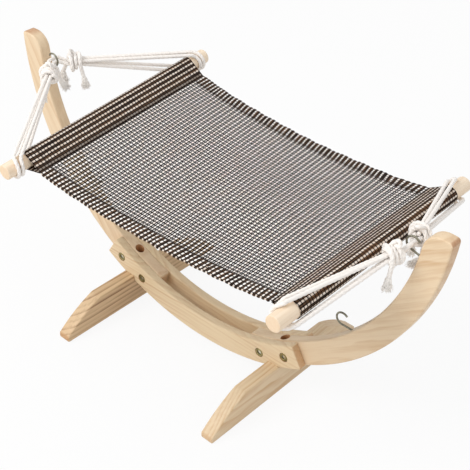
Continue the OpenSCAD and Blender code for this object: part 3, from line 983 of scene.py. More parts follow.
    def foot_outline(self) -> np.ndarray:
        """Outline of a foot: flat top, round shoulders and square ends with eased corners.

        Returns:
            Points in Y and Z.
        """
        half = self.foot_len / 2
        fall = self.foot_h - self.foot_end_h
        chord = math.hypot(self.foot_round, fall)
        middle = np.array([half - self.foot_round / 2, self.foot_h - fall / 2])
        back = math.sqrt(self.foot_round_r**2 - chord**2 / 4)
        centre = middle - back / chord * np.array([fall, self.foot_round])
        half_turn = math.asin(chord / 2 / self.foot_round_r)
        lean = math.atan2(self.foot_round, fall)
        y_axis, z_axis = np.eye(2)
        sweep = np.linspace(lean + half_turn, lean - half_turn, 24)
        shoulder = centre + self.foot_round_r * around(sweep, y_axis, z_axis)
        upper = [[half - 0.6 * MM, self.foot_end_h + 0.9 * MM], [half, self.foot_end_h - 1.2 * MM]]
        turn = np.linspace(0.0, QUARTER_TURN, 7)
        lower = np.array([half, 0.0]) + self.corner_r * (around(turn, y_axis, -z_axis) + [-1.0, 1.0])
        right = np.concatenate([shoulder[:-1], upper, lower])
        return np.concatenate([right, right[::-1] * np.array([-1.0, 1.0])])

    def foot(self, side: Side) -> None:
        """Builds a foot with the notch that the bow sits in.

        Args:
            side: The end of the bow.
        """
        name = f"{side.word}_foot"
        pine = self.finishes[name]
        middle = side.value * self.foot_x
        points, faces = eased_board(self.foot_outline(), self.foot_t, self.ease)
        place = np.stack([points[..., 2] + middle, points[..., 0], points[..., 1]], -1)
        piece = new_piece(f"{name}_board", place, faces, pine)
        x = middle + np.linspace(-self.foot_t, self.foot_t, 41)
        under = self.centre_z - np.sqrt((self.outer_r + self.seat_gap) ** 2 - x**2)
        above = 2 * self.foot_h
        section = np.concatenate([np.stack([x, under], -1), [[x[-1], above], [x[0], above]]])
        half = self.face_y + self.seat_gap
        notch = np.stack([at_depth(section, -half), at_depth(section, half)])
        self.bored(name, piece, [new_piece("cutter", notch, tube_faces(2, len(section)), pine)])

    def build(self) -> None:
        """Builds every board of the stand."""
        lean = math.radians(36)
        across = math.radians(-90)
        soft = {
            "contrast": 0.48,
            "ring": 13 * MM,
            "wander": 38 * MM,
            "pale": srgb(233, 208, 174),
            # The arms' end grain is darker and redder than end grain alone: painted shade and warm bounce in
            # the slot between the rails.
            "ends": srgb(174, 116, 74),
        }
        dusk = {
            "pale": srgb(222, 191, 150),
            "late": srgb(146, 102, 64),
            "contrast": 1.0,
            "ring": 6.2 * MM,
            "wander": 6 * MM,
            "sharp": 1.8,
        }
        clear = {
            "contrast": 0.9,
            "wander": 22 * MM,
            "ends": srgb(214, 178, 138),
            "pale": srgb(227, 203, 168),
        }
        # The walls of holes and recesses take a darker, redder pine: cut wood, darkened further as painted
        # shade inside them.
        cut = {"pale": srgb(202, 148, 100), "late": srgb(150, 96, 60)}
        grains: dict[str, tuple[tuple, tuple, dict[str, Any]]] = {
            "left_arm": ((0.0, -lean - 0.4, 0.0), (0.013, 0.085), soft),
            "right_arm": ((0.0, lean, 0.0), (-0.041, -0.062), soft),
            "front_rail": ((0.0, 0.02, 0.0), (-0.052, -0.01), {}),
            "rear_rail": ((0.0, -0.03, 0.0), (0.06, -0.02), {}),
            "left_foot": ((0.0, 0.0, across), (0.184, 0.098), dusk),
            "right_foot": ((0.0, 0.0, across), (0.075, -0.03), clear),
            "bore_shaded": ((0.0, 0.0, 0.0), (0.0, 0.0), cut),
        }
        for name, (turn, pith, tone) in grains.items():
            self.finishes[name] = PineFinish(f"pine_{name}", turn, pith, **tone).material()
        for side in Side:
            self.arm(side)
            self.foot(side)
        for edge in Edge:
            self.rail(edge)


@dataclass
class Rigging:
    """Where the sling hangs: hooks, bars, cloth and the rope passes in the eyes.

    Everything is worked out for the right end; the left end is the same in a
    mirror, with its own bar.
    """

    stand: Stand
    hook_run: float = 44.5 * MM
    rise: float = math.radians(15)
    shank: float = 15.5 * MM
    eye_r: float = 9 * MM
    wire_d: float = 2.6 * MM
    rope_d: float = 5 * MM
    rope_gap: float = 0.8 * MM
    bearing_gap: float = 0.6 * MM
    turn_gap: float = 1 * MM
    pass_angle: float = math.radians(222)
    pass_lean: float = math.radians(45)
    pass_lag: float = 0.6
    left_run: float = 115 * MM
    left_drop: float = 33 * MM
    right_run: float = 44.5 * MM
    right_drop: float = 30 * MM
    left_tilt: float = math.radians(5)
    bar_r: float = 10.5 * MM
    bar_gap: float = 0.3 * MM
    bar_len: float = 370 * MM
    cloth_half: float = 152 * MM
    cloth_t: float = 1.4 * MM

    @property
    def step(self) -> float:
        """Distance between two ropes side by side."""
        return self.rope_d + self.rope_gap

    @property
    def passes(self) -> tuple[np.ndarray, np.ndarray]:
        """Where the inner and the outer rope pass the eye.

        Returns:
            Two points in X and Z.
        """
        a = self.stand.tip - self.hook_run / self.stand.inner_r
        out = np.array([-math.cos(self.rise), math.sin(self.rise)])
        up = np.array([math.sin(self.rise), math.cos(self.rise)])
        eye = self.stand.bow_points(self.stand.inner_r, a) + self.shank * out + self.eye_r * up
        r = self.eye_r - self.wire_d / 2 - self.bearing_gap - self.rope_d / 2
        inner = eye + r * np.array([math.cos(self.pass_angle), math.sin(self.pass_angle)])
        return inner, inner + self.step * np.array([math.cos(self.pass_lean), math.sin(self.pass_lean)])

    @property
    def hang(self) -> np.ndarray:
        """The middle of the two passes as a point of the right end."""
        inner, outer = self.passes
        return at_depth((inner + outer) / 2, 0.0)

    def bar(self, side: Side) -> tuple[np.ndarray, np.ndarray]:
        """Middle and axis of a bar, both seen as at the right end.

        Args:
            side: The end of the bow.

        Returns:
            The bar's middle and its unit axis.
        """
        if side is Side.RIGHT:
            return self.hang - np.array([self.right_run, 0.0, self.right_drop]), ACROSS
        middle = self.hang - np.array([self.left_run, 0.0, self.left_drop])
        return middle, np.array([0.0, math.cos(self.left_tilt), math.sin(self.left_tilt)])


@dataclass
class Ropes:
    """Two ropes to each bar, and a wound knot with frayed tails at each bundle."""

    rig: Rigging
    hem_gap: float = 1.2 * MM
    wrap_lanes: float = 1.32
    wrap_reach: float = 1.6
    knot_place: float = 28 * MM
    knot_turns: float = 2.5
    tail: float = 26 * MM
    tail_lean: float = 0.3
    lay: float = 19 * MM
    step: float = 0.85 * MM
    rope_soften: float = 1.6 * MM
    knot_soften: float = 1.0 * MM
    loose_soften: float = 0.8 * MM
    rope_full: float = 1.08
    knot_full: float = 1.14
    loose_full: float = 1.1
    over_turns: float = 1.15
    over_len: float = 17 * MM
    bight_h: float = 8 * MM
    bight_half: float = 5 * MM
    bight_back: float = 3 * MM
    fibres: int = 210
    fibre_r: float = 0.52 * MM
    fibre_len: tuple[float, float] = (8.0 * MM, 16.0 * MM)
    fibre_spread: tuple[float, float] = (0.3 * MM, 4.6 * MM)
    fibre_curl: float = 1.5 * MM
    fibre_sink: float = 2.6 * MM
    tuft_r: float = 2.4 * MM
    tuft_root: float = 5.0 * MM
    tuft_drift: float = 9 * MM

    def in_frame(self, side: Side, c: Any, n: Any, s: Any) -> np.ndarray:
        """Points given from a bar's middle.

        Args:
            side: The end of the bow.
            c: Distances towards the hook.
            n: Distances upwards.
            s: Distances along the bar.

        Returns:
            The points as at the right end.
        """
        middle, along = self.rig.bar(side)
        towards = square_to(self.rig.hang - middle, along)
        up = np.cross(towards, along)
        up = up if up[2] > 0 else -up
        c, n, s = (np.asarray(values, float)[..., None] for values in (c, n, s))
        return middle + c * towards + n * up + s * along

    @property
    def wrap_start(self) -> float:
        """Distance from the bar's middle at which the inner wrap starts."""
        return self.rig.cloth_half + self.hem_gap + 0.75 * self.rig.rope_d

    @property
    def wrap_lane(self) -> float:
        """Distance along the bar between the two wraps."""
        return self.wrap_lanes * self.rig.rope_d

    @property
    def coil_r(self) -> float:
        """Radius of a knot's turns at the middle of the rope."""
        return self.rig.step / 2 * math.sqrt(2) + self.rig.rope_d + self.rig.rope_gap / 2

    def knot_frame(self, side: Side, edge: Edge) -> tuple[np.ndarray, np.ndarray, np.ndarray, np.ndarray]:
        """A knot's place and its directions.

        Args:
            side: The end of the bow.
            edge: The side of the hook.

        Returns:
            The knot's middle, and the directions away from the hook, up and apart.
        """
        target = self.in_frame(side, 0.0, 0.0, edge.value * (self.wrap_start + self.wrap_lane / 2))
        origin = self.in_frame(side, 0.0, 0.0, 0.0)
        away = unit(target - self.rig.hang)
        up = square_to(self.in_frame(side, 0.0, 1.0, 0.0) - origin, away)
        apart = np.cross(away, up)
        towards = self.in_frame(side, 1.0, 0.0, 0.0) - origin
        apart = apart if apart @ towards > 0 else -apart
        return self.rig.hang + self.knot_place * away, away, up, apart

    def coil_frame(self, side: Side, edge: Edge) -> tuple[np.ndarray, np.ndarray, np.ndarray, np.ndarray]:
        """A knot's place and the directions that its turns are wound by.

        Args:
            side: The end of the bow.
            edge: The side of the hook.

        Returns:
            The knot's middle, and the directions away from the hook, level and rising.
        """
        middle, away, _, _ = self.knot_frame(side, edge)
        level = unit(np.cross(away, UP))
        return middle, away, level, np.cross(level, away)

    def wrap(self, side: Side, edge: Edge, lane: int) -> np.ndarray:
        """One wrap round a bar's end.

        On the unrolled bar the wrap is half an ellipse: the turn is
        180 - half * cos b and the reach along the bar is depth * sin b, for b from
        0 to 180 degrees, and the rope starts and ends lifted clear of the cloth.

        Args:
            side: The end of the bow.
            edge: The end of the bar.
            lane: 1 for the outer rope, 0 for the inner rope.

        Returns:
            Points along the wrap.
        """
        rig = self.rig
        wrap_r = rig.bar_r + rig.bar_gap + rig.rope_d / 2
        lift = rig.cloth_t + self.hem_gap
        half = QUARTER_TURN + lane * 2 * math.asin(rig.step / 2 / wrap_r)
        start = self.wrap_start + lane * self.wrap_lane
        b = np.linspace(0.0, math.pi, 40)
        a = math.pi - half * np.cos(b)
        r = wrap_r + lift * (1.0 - np.sin(b)) ** 2
        s = edge.value * (start + self.wrap_reach * rig.rope_d * np.sin(b))
        return self.in_frame(side, r * np.cos(a), r * np.sin(a), s)

    def half(self, side: Side, edge: Edge, lane: int) -> np.ndarray:
        """Half of a rope: from its cut end in the knot, round the bar and back through it.

        Args:
            side: The end of the bow.
            edge: The side of the hook.
            lane: 1 for the outer rope, 0 for the inner rope.

        Returns:
            Corner points of the route.
        """
        middle, away, up, apart = self.knot_frame(side, edge)
        end = self.knot_turns * self.rig.step / 2 + self.rig.rope_d / 2
        h = self.rig.step / 2

        def strand(t: float, upper: int) -> np.ndarray:
            """A point of one of the bundle's four strands."""
            return (middle + t * away + upper * h * up + (2 * lane - 1) * h * apart)[None]

        turn = self.wrap(side, edge, lane)
        return np.concatenate([strand(-end, 1), strand(end, 1), turn, strand(end, -1), strand(-end, -1)])

    def route(self, side: Side, lane: int) -> np.ndarray:
        """A whole rope's route: front half, the hook's eye, rear half.

        Args:
            side: The end of the bow.
            lane: 1 for the outer rope, 0 for the inner rope.

        Returns:
            Evenly spaced points.
        """
        rig = self.rig
        reach = rig.wire_d / 2 + rig.rope_d / 2 + rig.turn_gap + lane * rig.pass_lag * rig.step
        eye = at_depth(np.tile(rig.passes[lane], (3, 1)), np.array([-reach, 0.0, reach]))
        front = self.half(side, Edge.FRONT, lane)
        rear = self.half(side, Edge.REAR, lane)[::-1]
        return even_path(side.place(np.concatenate([front, eye, rear])), self.step, self.rope_soften)

    def knot_route(self, side: Side, edge: Edge) -> np.ndarray:
        """A knot's route: a tail, turns round the bundle and the other tail.

        Args:
            side: The end of the bow.
            edge: The side of the hook.

        Returns:
            Evenly spaced points.
        """
        middle, away, level, rise = self.coil_frame(side, edge)
        a = np.linspace(0.0, FULL_TURN * self.knot_turns, int(60 * self.knot_turns) + 1)
        t = self.knot_turns * self.rig.step * (a / a[-1] - 0.5)
        coil = middle + t[:, None] * away + self.coil_r * around(a, level, rise)
        drop = np.linspace(0.1, 1.0, 10)[:, None] * self.tail
        first = coil[0] - drop * unit(rise + self.tail_lean * away)
        last = coil[-1] - drop * unit(rise - self.tail_lean * away)
        return even_path(side.place(np.concatenate([first[::-1], coil, last])), self.step, self.knot_soften)

    def lumps(self, side: Side, edge: Edge, name: str, material: Material) -> list[Piece]:
        """The parts of a knot that lie over its turns: a turn across them and a loose bight.

        The turn across starts inside one end of the coil, climbs over it as the root
        of a half sine and dives in at the other end. The bight is a half ellipse that
        stands out from the coil.

        Args:
            side: The end of the bow.
            edge: The side of the hook.
            name: The knot's name.
            material: The cotton.

        Returns:
            Both parts.
        """
        middle, away, level, rise = self.coil_frame(side, edge)
        rope_d = self.rig.rope_d
        phase = 1.9 + 1.3 * side.value + 0.8 * edge.value
        u = np.linspace(0.0, 1.0, 60)
        b = (math.pi * u)[:, None]
        out = self.coil_r - 0.5 * rope_d + 1.25 * rope_d * np.sqrt(np.clip(np.sin(b), 0.0, 1.0))
        ring = around(phase + FULL_TURN * self.over_turns * u, level, rise)
        over = middle + (u[:, None] - 0.5) * self.over_len * away + out * ring
        stem = middle - self.bight_back * away + self.coil_r * rise
        bight = stem + self.bight_h * np.sin(b) * unit(rise - 0.5 * away * phase)
        bight = bight - self.bight_half * np.cos(b) * unit(level + 0.4 * away)
        made = []
        for word, line in (("turn", over), ("bight", bight)):
            path = even_path(side.place(line), self.step, self.loose_soften)
            piece = twisted_rope(f"{name}_{word}", path, self.loose_full * rope_d / 2, self.lay, material)
            made.append(settle(piece, Body.SLING, "cotton"))
        return made

    def fray(
        self, name: str, end: np.ndarray, way: np.ndarray, drift: np.ndarray, seed: int, material: Material
    ) -> Piece:
        """A tuft of loose fibres at a rope's cut end.

        Fibre f leaves the end at its own angle, spreads as a power of its length
        and bends down; its radius narrows to a half at the tip.

        Args:
            name: The tuft's name.
            end: The rope's end.
            way: The rope's direction there.
            drift: How far the fibres' tips lean aside.
            seed: Seed of the fibres' spread.
            material: Their material.

        Returns:
            The tuft.
        """
        rng = np.random.default_rng(seed)
        count, rings, sides = self.fibres, 8, 5
        side = square_to(ASKEW, way)
        up = np.cross(way, side)
        turn = rng.uniform(0.0, FULL_TURN, count)
        start = self.tuft_r * np.sqrt(rng.uniform(0.0, 1.0, count))[:, None]
        spread = rng.uniform(*self.fibre_spread, count)[:, None]
        length = rng.uniform(*self.fibre_len, count)[:, None]
        curl = rng.uniform(-1.0, 1.0, (count, 2)) * self.fibre_curl
        t = np.linspace(0.0, 1.0, rings)[None]
        out = start + spread * t**1.7
        line = end + (length * t - self.tuft_root)[..., None] * way
        line = line + out[..., None] * around(turn, side, up)[:, None]
        wave = np.sin(math.pi * t * 1.5)
        line = line + (curl[:, :1] * wave)[..., None] * side + (curl[:, 1:] * wave)[..., None] * up
        line = line + (t**1.4)[..., None] * drift
        line = line - self.fibre_sink * (t**2)[..., None] * UP
        a = circle(sides)
        r = self.fibre_r * (1.0 - 0.5 * t)
        points = line[:, :, None] + r[..., None, None] * around(a, side, up)
        piece = new_piece(name, points, tube_faces(rings, sides, count), material)
        chart = np.stack(np.broadcast_arrays((length * t)[..., None], (a / FULL_TURN)[None, None]), -1)
        set_map(piece, "strand", chart.reshape(-1, 2))
        return piece

    def tufts(self, side: Side, edge: Edge, name: str, path: np.ndarray, material: Material) -> list[Piece]:
        """The frayed ends of a knot's two tails.

        Args:
            side: The end of the bow.
            edge: The side of the hook.
            name: The knot's name.
            path: The knot's route.
            material: The fibres' material.

        Returns:
            Both tufts.
        """
        made = []
        for end, near, far, lean in (("first", 0, 3, self.tuft_drift), ("last", -1, -4, 0.0)):
            way = unit(path[near] - path[far])
            seed = 11 + 100 * (side.value + 1) + 10 * (edge.value + 1) + near
            drift = -side.value * lean * ALONG
            frayed = self.fray(f"{name}_{end}_fray", path[near], way, drift, seed, material)
            made.append(settle(frayed, Body.SLING, "cotton"))
        return made

    def build(self) -> None:
        """Builds the ropes, the knots and their frayed tails."""
        cotton = CottonFinish("cotton_rope").material()
        tuft = CottonFinish("cotton_fray", srgb(254, 250, 245), srgb(240, 230, 219), 0.2).material()
        radius = self.rig.rope_d / 2
        for side in Side:
            for lane, word in enumerate(("inner", "outer")):
                path = self.route(side, lane)
                name = f"{side.word}_{word}_rope"
                piece = twisted_rope(f"{name}_strands", path, self.rope_full * radius, self.lay, cotton)
                settle(piece, Body.SLING, "cotton", name)
            for edge in Edge:
                path = self.knot_route(side, edge)
                name = f"{side.word}_{edge.word}_knot"
                piece = twisted_rope(f"{name}_coil", path, self.knot_full * radius, self.lay, cotton)
                settle(piece, Body.SLING, "cotton", name)
                loose = self.tufts(side, edge, name, path, tuft) + self.lumps(side, edge, name, cotton)


@dataclass
class Bars:
    """The two round bars of the sling, with eased ends."""

    rig: Rigging
    chamfer: float = 1.5 * MM
    core: float = 0.6
    sides: int = 72

    def build(self) -> None:
        """Builds both bars as turned profiles: a quarter round at each end of a cylinder."""
        piths = {Side.LEFT: (0.205, 0.262), Side.RIGHT: (-0.243, 0.291)}
        lengthwise = (0.0, 0.0, math.radians(-90))
        tone = {
            "ring": 6.0 * MM,
            "pale": srgb(247, 228, 203),
            "late": srgb(226, 194, 158),
            "ends": srgb(238, 208, 172),
            "contrast": 0.4,
            "wander": 4 * MM,
            "sharp": 0.6,
        }
        a = np.linspace(0.0, QUARTER_TURN, 6)
        edge = self.chamfer * (1.0 - np.cos(a))
        rim = self.rig.bar_r - self.chamfer * (1.0 - np.sin(a))
        cap = [self.core * rim[0]]
        radius = np.concatenate([cap, rim, rim[::-1], cap])
        half = self.rig.bar_len / 2
        reach = np.concatenate([[half], half - edge, (edge - half)[::-1], [-half]])
        for side in Side:
            middle, along = self.rig.bar(side)
            ring = around(circle(self.sides), ALONG, np.cross(ALONG, along))
            points = side.place(middle) + reach[:, None, None] * along + radius[:, None, None] * ring
            name = f"{side.word}_bar"
            grain = PineFinish(f"pine_{name}", lengthwise, piths[side], **tone)
            faces = tube_faces(len(reach), self.sides)
            piece = new_piece(f"{name}_dowel", points, faces, grain.material())
            sharpen(piece, WOOD_EDGE)
            settle(piece, Body.SLING, "pine_bar", name)


@dataclass
class Sling:
    """The woven cloth, folded round both bars, with hemmed long edges and seams.

    The cloth hangs as a parabola between the bars' middles; at each end it runs on
    to the bar's upper tangent, round the bar and back to the seam.
    """

    rig: Rigging
    thick: float = 0.3 * MM
    sag: float = 19 * MM
    seam: float = 30 * MM
    seam_gap: float = 1.55 * MM
    hem: float = 18 * MM
    hem_start: float = 3 * MM
    hem_gap: float = 1.5 * MM
    hem_t: float = 0.6 * MM
    scallop: float = 0.5 * MM
    scallop_in: float = 0.3 * MM
    draw: float = 2.5 * MM
    weft: float = 7 * MM
    skew: float = 0.04
    bend: float = 4.8 * MM
    slow_a: float = 0.5 * MM
    slow_b: float = 0.35 * MM
    pucker: float = 0.55 * MM
    pucker_len: float = 31 * MM
    droop: float = 1.3 * MM
    ridge: float = 0.16 * MM
    ripple_fade: float = 50 * MM
    slant_fade: float = 70 * MM
    stitch_pitch: float = 4.2 * MM
    stitch_len: float = 3.3 * MM
    stitch_r: float = 0.42 * MM
    stitch_rise: float = 0.75 * MM
    stitch_sink: float = 0.25 * MM
    hem_stitch: float = 0.85
    seam_stitch: float = 2.2 * MM
    arc_points: int = 40
    flank_points: int = 16
    sheet_points: int = 360
    rows: int = 61

    @property
    def half(self) -> float:
        """Half the cloth's width."""
        return self.rig.cloth_half

    def bars_at(self, y: np.ndarray) -> tuple[np.ndarray, np.ndarray]:
        """The middles of both bars at stations across the cloth.

        Args:
            y: The stations.

        Returns:
            Points in X and Z of the left bar and of the right bar.
        """
        left, axis = self.rig.bar(Side.LEFT)
        right, _ = self.rig.bar(Side.RIGHT)
        a = np.stack([np.full_like(y, -left[0]), left[2] + y * axis[2] / axis[1]], -1)
        b = np.stack([np.full_like(y, right[0]), np.full_like(y, right[2])], -1)
        return a, b

    def sheet_at(self, u: np.ndarray, y: np.ndarray) -> np.ndarray:
        """Points of the hanging cloth: a chord less 4 sag u (1 - u).

        Args:
            u: Shares of the span.
            y: Stations across the cloth.

        Returns:
            Points in X and Z.
        """
        a, b = self.bars_at(y)
        drop = np.stack([np.zeros_like(u), 4 * self.sag * u * (1 - u)], -1)
        return a + (b - a) * u[..., None] - drop

    def edge_half(self, u: np.ndarray) -> np.ndarray:
        """Half the cloth's width at shares u of the span."""
        return self.half - 4 * self.draw * u * (1 - u)

    @property
    def span(self) -> float:
        """Distance along X between the bars."""
        a, b = self.bars_at(np.zeros(1))
        return float(b[0, 0] - a[0, 0])

    @property
    def seam_share(self) -> float:
        """Share of the span from a bar to its seam."""
        return self.seam / self.span

    def pocket(self, y: np.ndarray, side: Side) -> np.ndarray:
        """The fold round a bar, from the seam's lower layer to its upper layer.

        Args:
            y: Stations across the cloth.
            side: The end of the sling.

        Returns:
            Points (X, Z), path by station.
        """
        way = -side.value
        u = np.full_like(y, self.seam_share if way > 0 else 1 - self.seam_share)
        middle = self.bars_at(y)[0 if way > 0 else 1]
        seam = self.sheet_at(u, y)
        reach = seam - middle
        towards = np.arctan2(reach[:, 1], reach[:, 0])
        r = self.rig.bar_r + self.rig.bar_gap + self.rig.cloth_t / 2
        spread = np.arccos(r / np.linalg.norm(reach, axis=-1))
        t = np.linspace(0.0, 1.0, self.arc_points)[:, None]
        angle = towards - way * spread - way * (FULL_TURN - 2 * spread) * t
        arc = middle + r * around(angle, *np.eye(2))
        low = seam - np.array([0.0, self.seam_gap])
        share = np.linspace(0.0, 1.0, self.flank_points, endpoint=False)[:, None, None]
        lower = low + (arc[0] - low) * share
        upper = arc[-1] + (seam - arc[-1]) * share
        return np.concatenate([lower, arc[:-1], upper])

    def lines(self, y: np.ndarray) -> np.ndarray:
        """The whole cloth from left fold to right fold.

        Args:
            y: Stations across the cloth.

        Returns:
            Points (X, Z), path by station.
        """
        share = self.seam_share
        u = np.linspace(share, 1 - share, self.sheet_points)[:, None] + np.zeros_like(y)
        sheet = self.sheet_at(u, y[None] + np.zeros_like(u))
        return np.concatenate([self.pocket(y, Side.LEFT), sheet, self.pocket(y, Side.RIGHT)[::-1]])

    @property
    def fold_points(self) -> int:
        """Points of the path before the left seam."""
        return 2 * self.flank_points + self.arc_points - 1

    def chart_along(self) -> np.ndarray:
        """Length along the cloth's middle line at each point of the path."""
        return lengths(self.lines(np.zeros(1))[:, 0])

    @property
    def seams(self) -> tuple[float, float]:
        """Length along the cloth at its left and right seams."""
        along = self.chart_along()
        return float(along[self.fold_points]), float(along[-self.fold_points - 1])

    def free(self, along: np.ndarray, fade: float) -> np.ndarray:
        """A share that rises from 0 at each seam to 1 past a fading length."""
        first, last = self.seams
        return smooth(first, first + fade, along) * (1.0 - smooth(last - fade, last, along))

    def ripple(self, along: np.ndarray, v: np.ndarray) -> np.ndarray:
        """Small give of the cloth: slow waves, puckers beside the hems, and drooping edges.

        Args:
            along: Lengths along the cloth.
            v: Shares across it, -1 to 1.

        Returns:
            Heights, length by share.
        """
        s = along[:, None]
        v = v[None]
        edge = np.abs(v)
        slow = self.slow_a * np.sin(s * 31.0 + 2.1 * v) * np.cos(2.7 * v + s * 9.0)
        slow = slow + self.slow_b * np.sin(s * 17.0 - 3.9 * v + 1.0)
        pucker = self.pucker * np.sin(s * FULL_TURN / self.pucker_len + 4.0 * v) * smooth(0.80, 0.97, edge)
        droop = self.droop * smooth(0.9, 1.03, edge)
        rows = self.ridge * np.cos(FULL_TURN * s / self.weft)
        return (slow + pucker - droop) * self.free(s, self.ripple_fade) + rows

    def slant(self, along: np.ndarray, v: np.ndarray) -> np.ndarray:
        """How far the wefts run askew between the bars.

        The skew grows evenly across the cloth, the hems add a bend that rises to the
        edge, and both are eased in from each seam.

        Args:
            along: Lengths along the cloth.
            v: Shares across it, -1 to 1.

        Returns:
            Shifts along the cloth, length by share.
        """
        v = v[None]
        bend = self.bend * smooth(0.84, 1.04, np.abs(v))
        return self.free(along[:, None], self.slant_fade) * (self.skew * v * self.half + bend)

    def cloth(self, name: str, layers: Sequence[np.ndarray], chart: Sequence[Any], weave: Material) -> Piece:
        """A closed piece of cloth from its two layers.

        Args:
            name: The piece's name.
            layers: Points of the upper and of the lower layer, along by across.
            chart: Lengths along the cloth and across it, for the weave.
            weave: Its material.

        Returns:
            The piece.
        """
        piece = new_piece(name, np.stack(layers), sheet_faces(*layers[0].shape[:2]), weave)
        values = np.stack(np.broadcast_arrays(*chart), -1).reshape(-1, 2)
        set_map(piece, "weave", np.concatenate([values, values]))
        sharpen(piece, CLOTH_EDGE)
        return piece

    def panel(self, weave: Material) -> Piece:
        """Builds the cloth as a thin closed sheet.

        Args:
            weave: The weave.

        Returns:
            The cloth.
        """
        v = np.linspace(-1.0, 1.0, self.rows)
        line = self.lines(v * self.half)
        along = self.chart_along()
        normal = upward(unit(np.gradient(line, axis=0)))
        a, _ = self.bars_at(np.zeros(1))
        u = np.clip((line[..., 0] - a[0, 0]) / self.span, 0.0, 1.0)
        y = v[None] * self.edge_half(u)
        lift = self.ripple(along, v)
        offsets = (self.thick / 2, -self.thick / 2)
        layers = [at_depth(line + normal * (lift + offset)[..., None], y) for offset in offsets]
        chart = (along[:, None] + self.slant(along, v), v[None] * self.half)
        piece = self.cloth("sling_panel_cloth", layers, chart, weave)
        return settle(piece, Body.SLING, "weave", "sling_panel")

    def hem_strip(self, edge: Edge, weave: Material) -> Piece:
        """Builds the folded flap under a long edge, with the round of its fold.

        The section starts on the cloth's edge, turns half a circle outwards and down
        and runs back under the cloth for the hem's width. The fold swells at each
        weft, which scallops the edge.

        Args:
            edge: The long edge.
            weave: The weave.

        Returns:
            The flap.
        """
        share = self.seam_share + self.hem_start / self.span
        u = np.linspace(share, 1 - share, self.sheet_points)
        first, last = self.seams
        s = first + (last - first) * (u - self.seam_share) / (1 - 2 * self.seam_share)
        turn = np.linspace(0.0, math.pi, 9)
        flap = np.linspace(0.0, self.hem, 9)[1:]
        inset = np.concatenate([-0.5 * self.hem_gap * np.sin(turn), flap])
        level = np.concatenate([-0.5 * self.hem_gap * (1 - np.cos(turn)), np.full(len(flap), -self.hem_gap)])
        askew = s + self.slant(s, np.array([float(edge.value)]))[:, 0]
        swell = self.scallop * (1 - np.cos(FULL_TURN * askew / self.weft)) - self.scallop_in
        y = edge.value * (self.edge_half(u)[:, None] - inset + swell[:, None] * (inset <= 0))
        xz = self.sheet_at(u[:, None] + np.zeros_like(y), y)
        up = upward(unit(np.gradient(xz[:, 0], axis=0)))
        lift = self.ripple(s, 1.0 - np.maximum(inset, 0.0) / self.half)
        way = unit(np.stack([np.gradient(inset), np.gradient(level)], -1))
        layers = []
        for offset in (self.hem_t / 2, -self.hem_t / 2):
            rise = level - offset * way[:, 0] + lift
            layers.append(at_depth(xz + up[:, None] * rise[..., None], y - edge.value * offset * way[:, 1]))
        name = f"{edge.word}_hem"
        run = lengths(np.stack([inset, level], -1))
        chart = (askew[:, None], edge.value * (self.half + run)[None])
        piece = self.cloth(f"{name}_fold", layers, chart, weave)
        return settle(piece, Body.SLING, "weave", name)

    def stitches(self, name: str, points: np.ndarray, ups: np.ndarray, thread: Material) -> Piece:
        """A row of stitches along a line on the cloth.

        Each stitch is a thread whose middle lies proud of the cloth by a half sine
        and whose ends dive into it.

        Args:
            name: The row's name.
            points: Closely spaced points of the line.
            ups: The cloth's normals there.
            thread: The thread.

        Returns:
            The row.
        """
        rings, sides = 8, 6
        reach = lengths(points)
        start = np.arange(0.5 * self.stitch_pitch, reach[-1] - self.stitch_pitch, self.stitch_pitch)
        t = np.linspace(0.0, 1.0, rings)
        s = start[:, None] + self.stitch_len * t[None]

        def at(values: np.ndarray) -> np.ndarray:
            """Values along the line at every point of every stitch."""
            return np.stack([np.interp(s, reach, values[:, k]) for k in range(3)], -1)

        up = unit(at(ups))
        proud = self.stitch_rise * np.sin(math.pi * t) - self.stitch_sink
        line = at(points) + up * proud[None, :, None]
        way = unit(np.gradient(line, axis=1))
        side = unit(np.cross(way, up))
        ring = around(circle(sides), side[:, :, None], np.cross(side, way)[:, :, None])
        thick = self.stitch_r * np.sqrt(np.sin(math.pi * np.clip(t, 0.06, 0.94)))
        solid = line[:, :, None] + thick[None, :, None, None] * ring
        piece = new_piece(name, solid, tube_faces(rings, sides, len(start)), thread)
        return settle(piece, Body.SLING, "weave")

    def sewing(self, thread: Material) -> list[Piece]:
        """Sews both hems and both seams.

        Args:
            thread: The thread.

        Returns:
            The rows of stitches.
        """
        made = []
        along = self.chart_along()
        share = self.seam_share
        u = np.linspace(share, 1 - share, 400)
        sheet = along[self.fold_points : self.fold_points + self.sheet_points]
        s = np.interp(u, np.linspace(share, 1 - share, self.sheet_points), sheet)
        for edge in Edge:
            v = np.full_like(u, edge.value * (self.half - self.hem_stitch * self.hem) / self.half)
            xz = self.sheet_at(u, v * self.half)
            up = upward(unit(np.gradient(xz, axis=0)))
            lift = np.interp(s, along, self.ripple(along, v[:1])[:, 0]) + self.thick / 2
            line = at_depth(xz + up * lift[:, None], v * self.edge_half(u))
            made.append(self.stitches(f"{edge.word}_hem_stitches", line, at_depth(up, 0.0), thread))
        y = np.linspace(-0.985, 0.985, 300) * self.half
        for side in Side:
            place = share + self.seam_stitch / self.span
            place = place if side is Side.LEFT else 1 - place
            xz = self.sheet_at(np.full_like(y, place), y)
            up = upward(unit(self.sheet_at(np.full_like(y, place + 1e-3), y) - xz))
            line = at_depth(xz + up * (self.thick / 2 + 0.1 * MM), y)
            made.append(self.stitches(f"{side.word}_seam_stitches", line, at_depth(up, 0.0), thread))
        return made

    def build(self) -> None:
        """Builds the cloth, its hems and its sewing."""
        weave = WeaveFinish("open_weave", self.seams, self.half - self.hem).material()
        # The hems' cloth is double everywhere: its seams and hems lie past its ends.
        closed = WeaveFinish("closed_weave", (9.0, 9.1), 9.0).material()
        panel = self.panel(weave)
        hems = [self.hem_strip(edge, closed) for edge in Edge]
        rows = self.sewing(ThreadFinish().material())
        flat = (2 * self.half, float(self.chart_along()[-1]))


